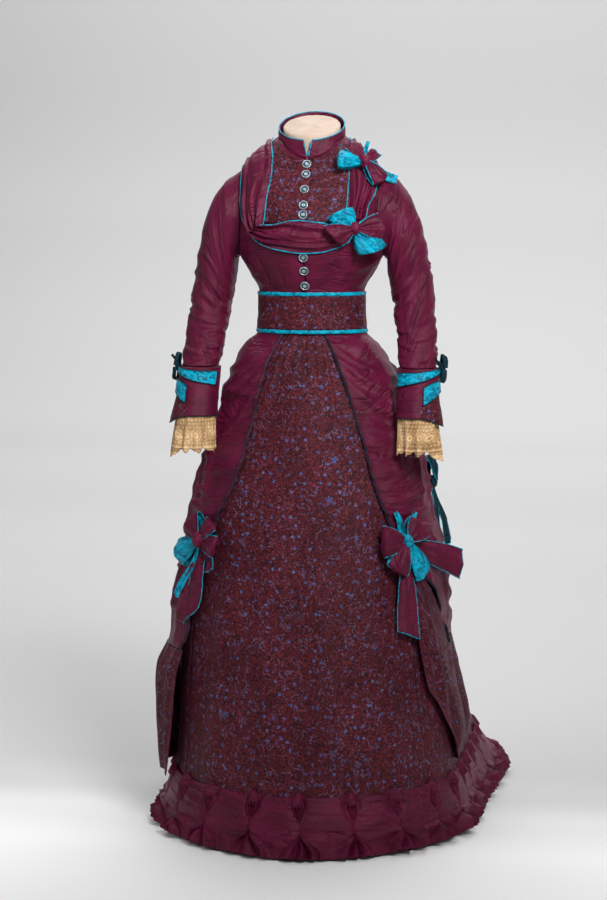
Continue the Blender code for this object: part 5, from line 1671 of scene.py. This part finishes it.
def petal(kind, tips, rise, height, number):
    """A ribbon loop or tail as a grid in the bow's frame, and its edge lines. Tips are in millimetres."""
    first, second = (np.array(tip) / 1000 for tip in tips)
    along = unit((first + second) / 2)
    aside = np.array([-along[1], along[0]])
    if (first - second).dot(aside) < 0:
        first, second = second, first
    width = np.linalg.norm(first - second)
    length = np.linalg.norm((first + second) / 2)
    s = np.linspace(0, 1, 38 if kind == "loop" else 34)[:, None]
    side = np.linspace(-1, 1, 19)[None] if kind == "loop" else np.linspace(1, -1, 19)[None]
    wobble = 1.7 * number
    reach = np.sin(np.pi * s) ** 0.80 if kind == "loop" else s
    share = (1 + side) / 2
    root = aside * side[..., None] * BOW_ROOT + along * 0.002
    tip = first * share[..., None] + second * (1 - share[..., None])
    flat = root + (tip - root) * reach[..., None]
    swell = np.sin(np.pi * np.clip(reach, 0, 1)) * side * 0.10 * width
    flat = flat + aside * swell[..., None]
    if kind == "loop":
        z = height + rise * 0.80 * (1 - np.cos(np.pi * s))
        crown = 0.17 * width * (1 - side**2) * np.sin(np.pi * s) * np.where(s > 0.5, 1.0, -0.3)
        near = 1 - 0.75 * reach
        flat = flat - along * (0.10 * length * np.abs(side) ** 3 * np.sin(np.pi * s) ** 6)[..., None]
    else:
        z = height + rise * s + TAIL_WAVE * np.sin(2 * np.pi * 0.9 * s + wobble) * smooth_step(s * 2)
        crown = 0.07 * width * (1 - side**2) * (1 - 0.3 * s)
        near = (1 - s) ** 1.5
    pleats = RIBBON_PLEAT * folded(1.55 * side + 0.25 * wobble) * near
    bends = RIBBON_BEND * np.sin(np.pi * 1.3 * side + 4 * s + wobble) * reach
    x = reach * length + 0 * side
    y = side * width / 2 + 0 * s
    crushed = crinkle(x, y, 200 + 7 * number, 0.032, 0.0085, 8 * math.sin(wobble), 0.0013)
    z = z + crown + pleats + bends + crushed * np.minimum(reach * 3, 1)
    grid = np.concatenate([flat, z[..., None]], axis=2)
    if kind == "loop":
        half = grid.shape[0] // 2 - 2
        edges = [grid[half:, 0], grid[half:, -1]]
    else:
        edges = [np.concatenate([grid[:, 0], grid[-1, 1:-1], grid[::-1, -1]])]
    return grid, edges


def knot_grid(size):
    """A gathered knot as a grid in the bow's frame."""
    v = np.linspace(0.02, np.pi - 0.02, 26)[:, None]
    turn = around(36)[None]
    x = size[0] * np.sin(v) * np.cos(turn)
    y = -size[1] * np.cos(v) + 0 * turn
    z = size[2] * (1 + np.sin(v) * np.sin(turn))
    pleats = 1 + 0.13 * folded(turn * 5 / (2 * np.pi) + 0.25 * np.sin(v * 2)) * np.sin(v)
    return np.stack(np.broadcast_arrays(x * pleats, y, z + 0.0003 + 0 * x), axis=-1)


def bow(name, fabric, lining, piping, place, outwards, knot, petals, carrier):
    """A bow: ribbon loops and ends gathered under a knot, with piped edges."""
    out = unit(outwards)
    across = unit(np.cross((0, 0, 1), out))
    basis = np.stack([across, np.cross(out, across), out])

    def placed(points):
        return place + points @ basis

    parts, edges = [], []
    for number, (kind, first, second, rise, height) in enumerate(petals):
        grid, lines = petal(kind, (first, second), rise, height, number + len(name))
        parts.append(grid_parts(placed(grid)))
        edges += [tube_parts(placed(line) + out * 0.0002, THIN_PIPING) for line in lines]
    if knot:
        parts.append(grid_parts(placed(knot_grid(knot)[::-1]), True))
    made = piece(f"{name}_ribbon", parts, fabric, (name,), RIBBON_WALL, middle=True, lining=lining)
    if piping:
        piece(f"{name}_piping", edges, piping)


# Bows on the body. Each has its surface, its place (degrees, height, distance out), the way it faces
# (degrees, tilt), its carrier and its ribbons. A ribbon has its size of knot and its petals: the kind,
# the two corners of the tip in millimetres, the rise and the height.
BOWS = {
    "bow_upper": (torso, (53, 1.2980, 0.0093), (38, 25), "drape_left", {
        "plum": ((0.0090, 0.0140, 0.0120), (
            ("loop", (-34, 34), (2, 46), 0.007, 0.002),
            ("loop", (48, -34), (12, -52), 0.008, 0.003),
            ("tail", (26, 30), (42, 14), 0.004, 0.003),
        )),
        "teal": (None, (
            ("loop", (-48, 28), (-62, -10), 0.007, 0.001),
            ("tail", (74, -26), (64, -44), 0.003, 0.002),
            ("tail", (16, 44), (21, 42), 0.002, 0.008),
        )),
    }),
    "bow_lower": (torso, (37, 1.1690, 0.0082), (24, 4), "drape_front", {
        "plum": ((0.0100, 0.0130, 0.0120), (
            ("loop", (-66, 4), (-30, -34), 0.009, 0.002),
            ("loop", (52, 30), (60, -20), 0.009, 0.002),
        )),
        "teal": (None, (
            ("loop", (-6, 44), (-56, 22), 0.007, 0.001),
            ("loop", (68, -36), (12, -54), 0.007, 0.001),
        )),
    }),
    "bow_hip_right": (overskirt_point, (-51, 0.5630, -0.0026), (-46, 11), "overskirt_right", {
        "plum": ((0.0135, 0.0170, 0.0150), (
            ("tail", (-26, -168), (22, -128), 0.006, 0.002),
            ("tail", (30, -60), (52, -50), 0.004, 0.003),
            ("loop", (-22, 56), (-66, 16), 0.010, 0.003),
            ("loop", (10, 50), (46, 26), 0.010, 0.003),
            ("loop", (54, 12), (44, -30), 0.008, 0.003),
        )),
        "teal": (None, (
            ("loop", (-92, -12), (-58, -60), 0.008, 0.002),
            ("loop", (-50, 2), (-46, -18), 0.006, 0.004),
            ("tail", (-56, -112), (-42, -120), 0.006, 0.008),
        )),
    }),
    "bow_hip_left": (overskirt_point, (52, 0.5680, -0.0016), (46, 10), "overskirt_left", {
        "plum": (None, (
            ("tail", (132, -84), (148, -28), 0.002, 0.002),
            ("tail", (-34, -168), (16, -188), 0.002, 0.003),
            ("loop", (-54, 34), (-60, -26), 0.010, 0.003),
            ("loop", (18, 50), (58, 8), 0.010, 0.003),
            ("loop", (-52, -42), (-8, -72), 0.010, 0.004),
        )),
        "teal": ((0.0105, 0.0135, 0.0150), (
            ("tail", (-16, 56), (-8, 60), 0.002, 0.006),
            ("tail", (34, 58), (44, 50), 0.002, 0.006),
            ("tail", (-52, -38), (-44, -48), 0.002, 0.008),
            ("loop", (56, -54), (18, -84), 0.009, 0.002),
        )),
    }),
    # The back bow's ribbon is painted shade: the darker copy of the teal satin, for teal satin lying in
    # shade.
    "bow_back": (overskirt_point, (103, 0.6600, 0.0001), (76, 13), "overskirt_back", {
        "dark": ((0.010, 0.013, 0.010), (
            ("loop", (-20, 50), (6, 56), 0.010, 0.003),
            ("loop", (10, 54), (32, 40), 0.010, 0.003),
            ("tail", (8, -132), (44, -122), 0.004, 0.006),
            ("tail", (-40, -104), (-12, -118), 0.002, 0.008),
        )),
    }),
}
CUFF_BOW_KNOT = (0.006, 0.008, 0.0055)
CUFF_BOW = (
    ("loop", (-2, 30), (7, 27), 0.006, 0.002),
    ("loop", (-11, -24), (2, -29), 0.006, 0.002),
    ("tail", (-20, 19), (-16, 23), 0.004, 0.003),
)

# The cloth, the lining and the piping of each kind of ribbon.
RIBBONS = {
    "plum": ("plum_silk", "teal_satin", "teal_satin"),
    "teal": ("teal_satin", "teal_satin", None),
    # The dark kind is painted shade: teal satin darkened as it lies in shade.
    "dark": ("dark_satin", "dark_satin", "teal_satin"),
}


def bows():
    for name, (surface, (degrees, height, distance), faces, carrier, ribbons) in BOWS.items():
        place = moved_out(surface, math.radians(degrees), height, distance)
        for kind, (knot, petals) in ribbons.items():
            full_name = name if kind == "dark" else f"{name}_{kind}"
            bow(full_name, *RIBBONS[kind], place, facing(*faces), knot, petals, carrier)
    for side, sign in (("left", 1), ("right", -1)):
        spot = cuff_surface(np.array([[0.03]]), np.array([[math.radians(-12)]]), 0.0030)
        spot = for_side(spot, sign)[0, 0]
        bow(f"cuff_bow_{side}", *(("dark_satin",) * 3), spot, np.array([sign, -0.75, 0.1]), CUFF_BOW_KNOT,
            CUFF_BOW, f"cuff_{side}")


bpy.context.scene.view_settings.view_transform = "Standard"
camera()
studio()
dress_form()
bodice()
vest()
collar()
buttons()
drapery()
belt()
sleeves()
cuffs()
lace_frills()
underskirt()
overskirt()
side_drapery()
flounce()
bows()
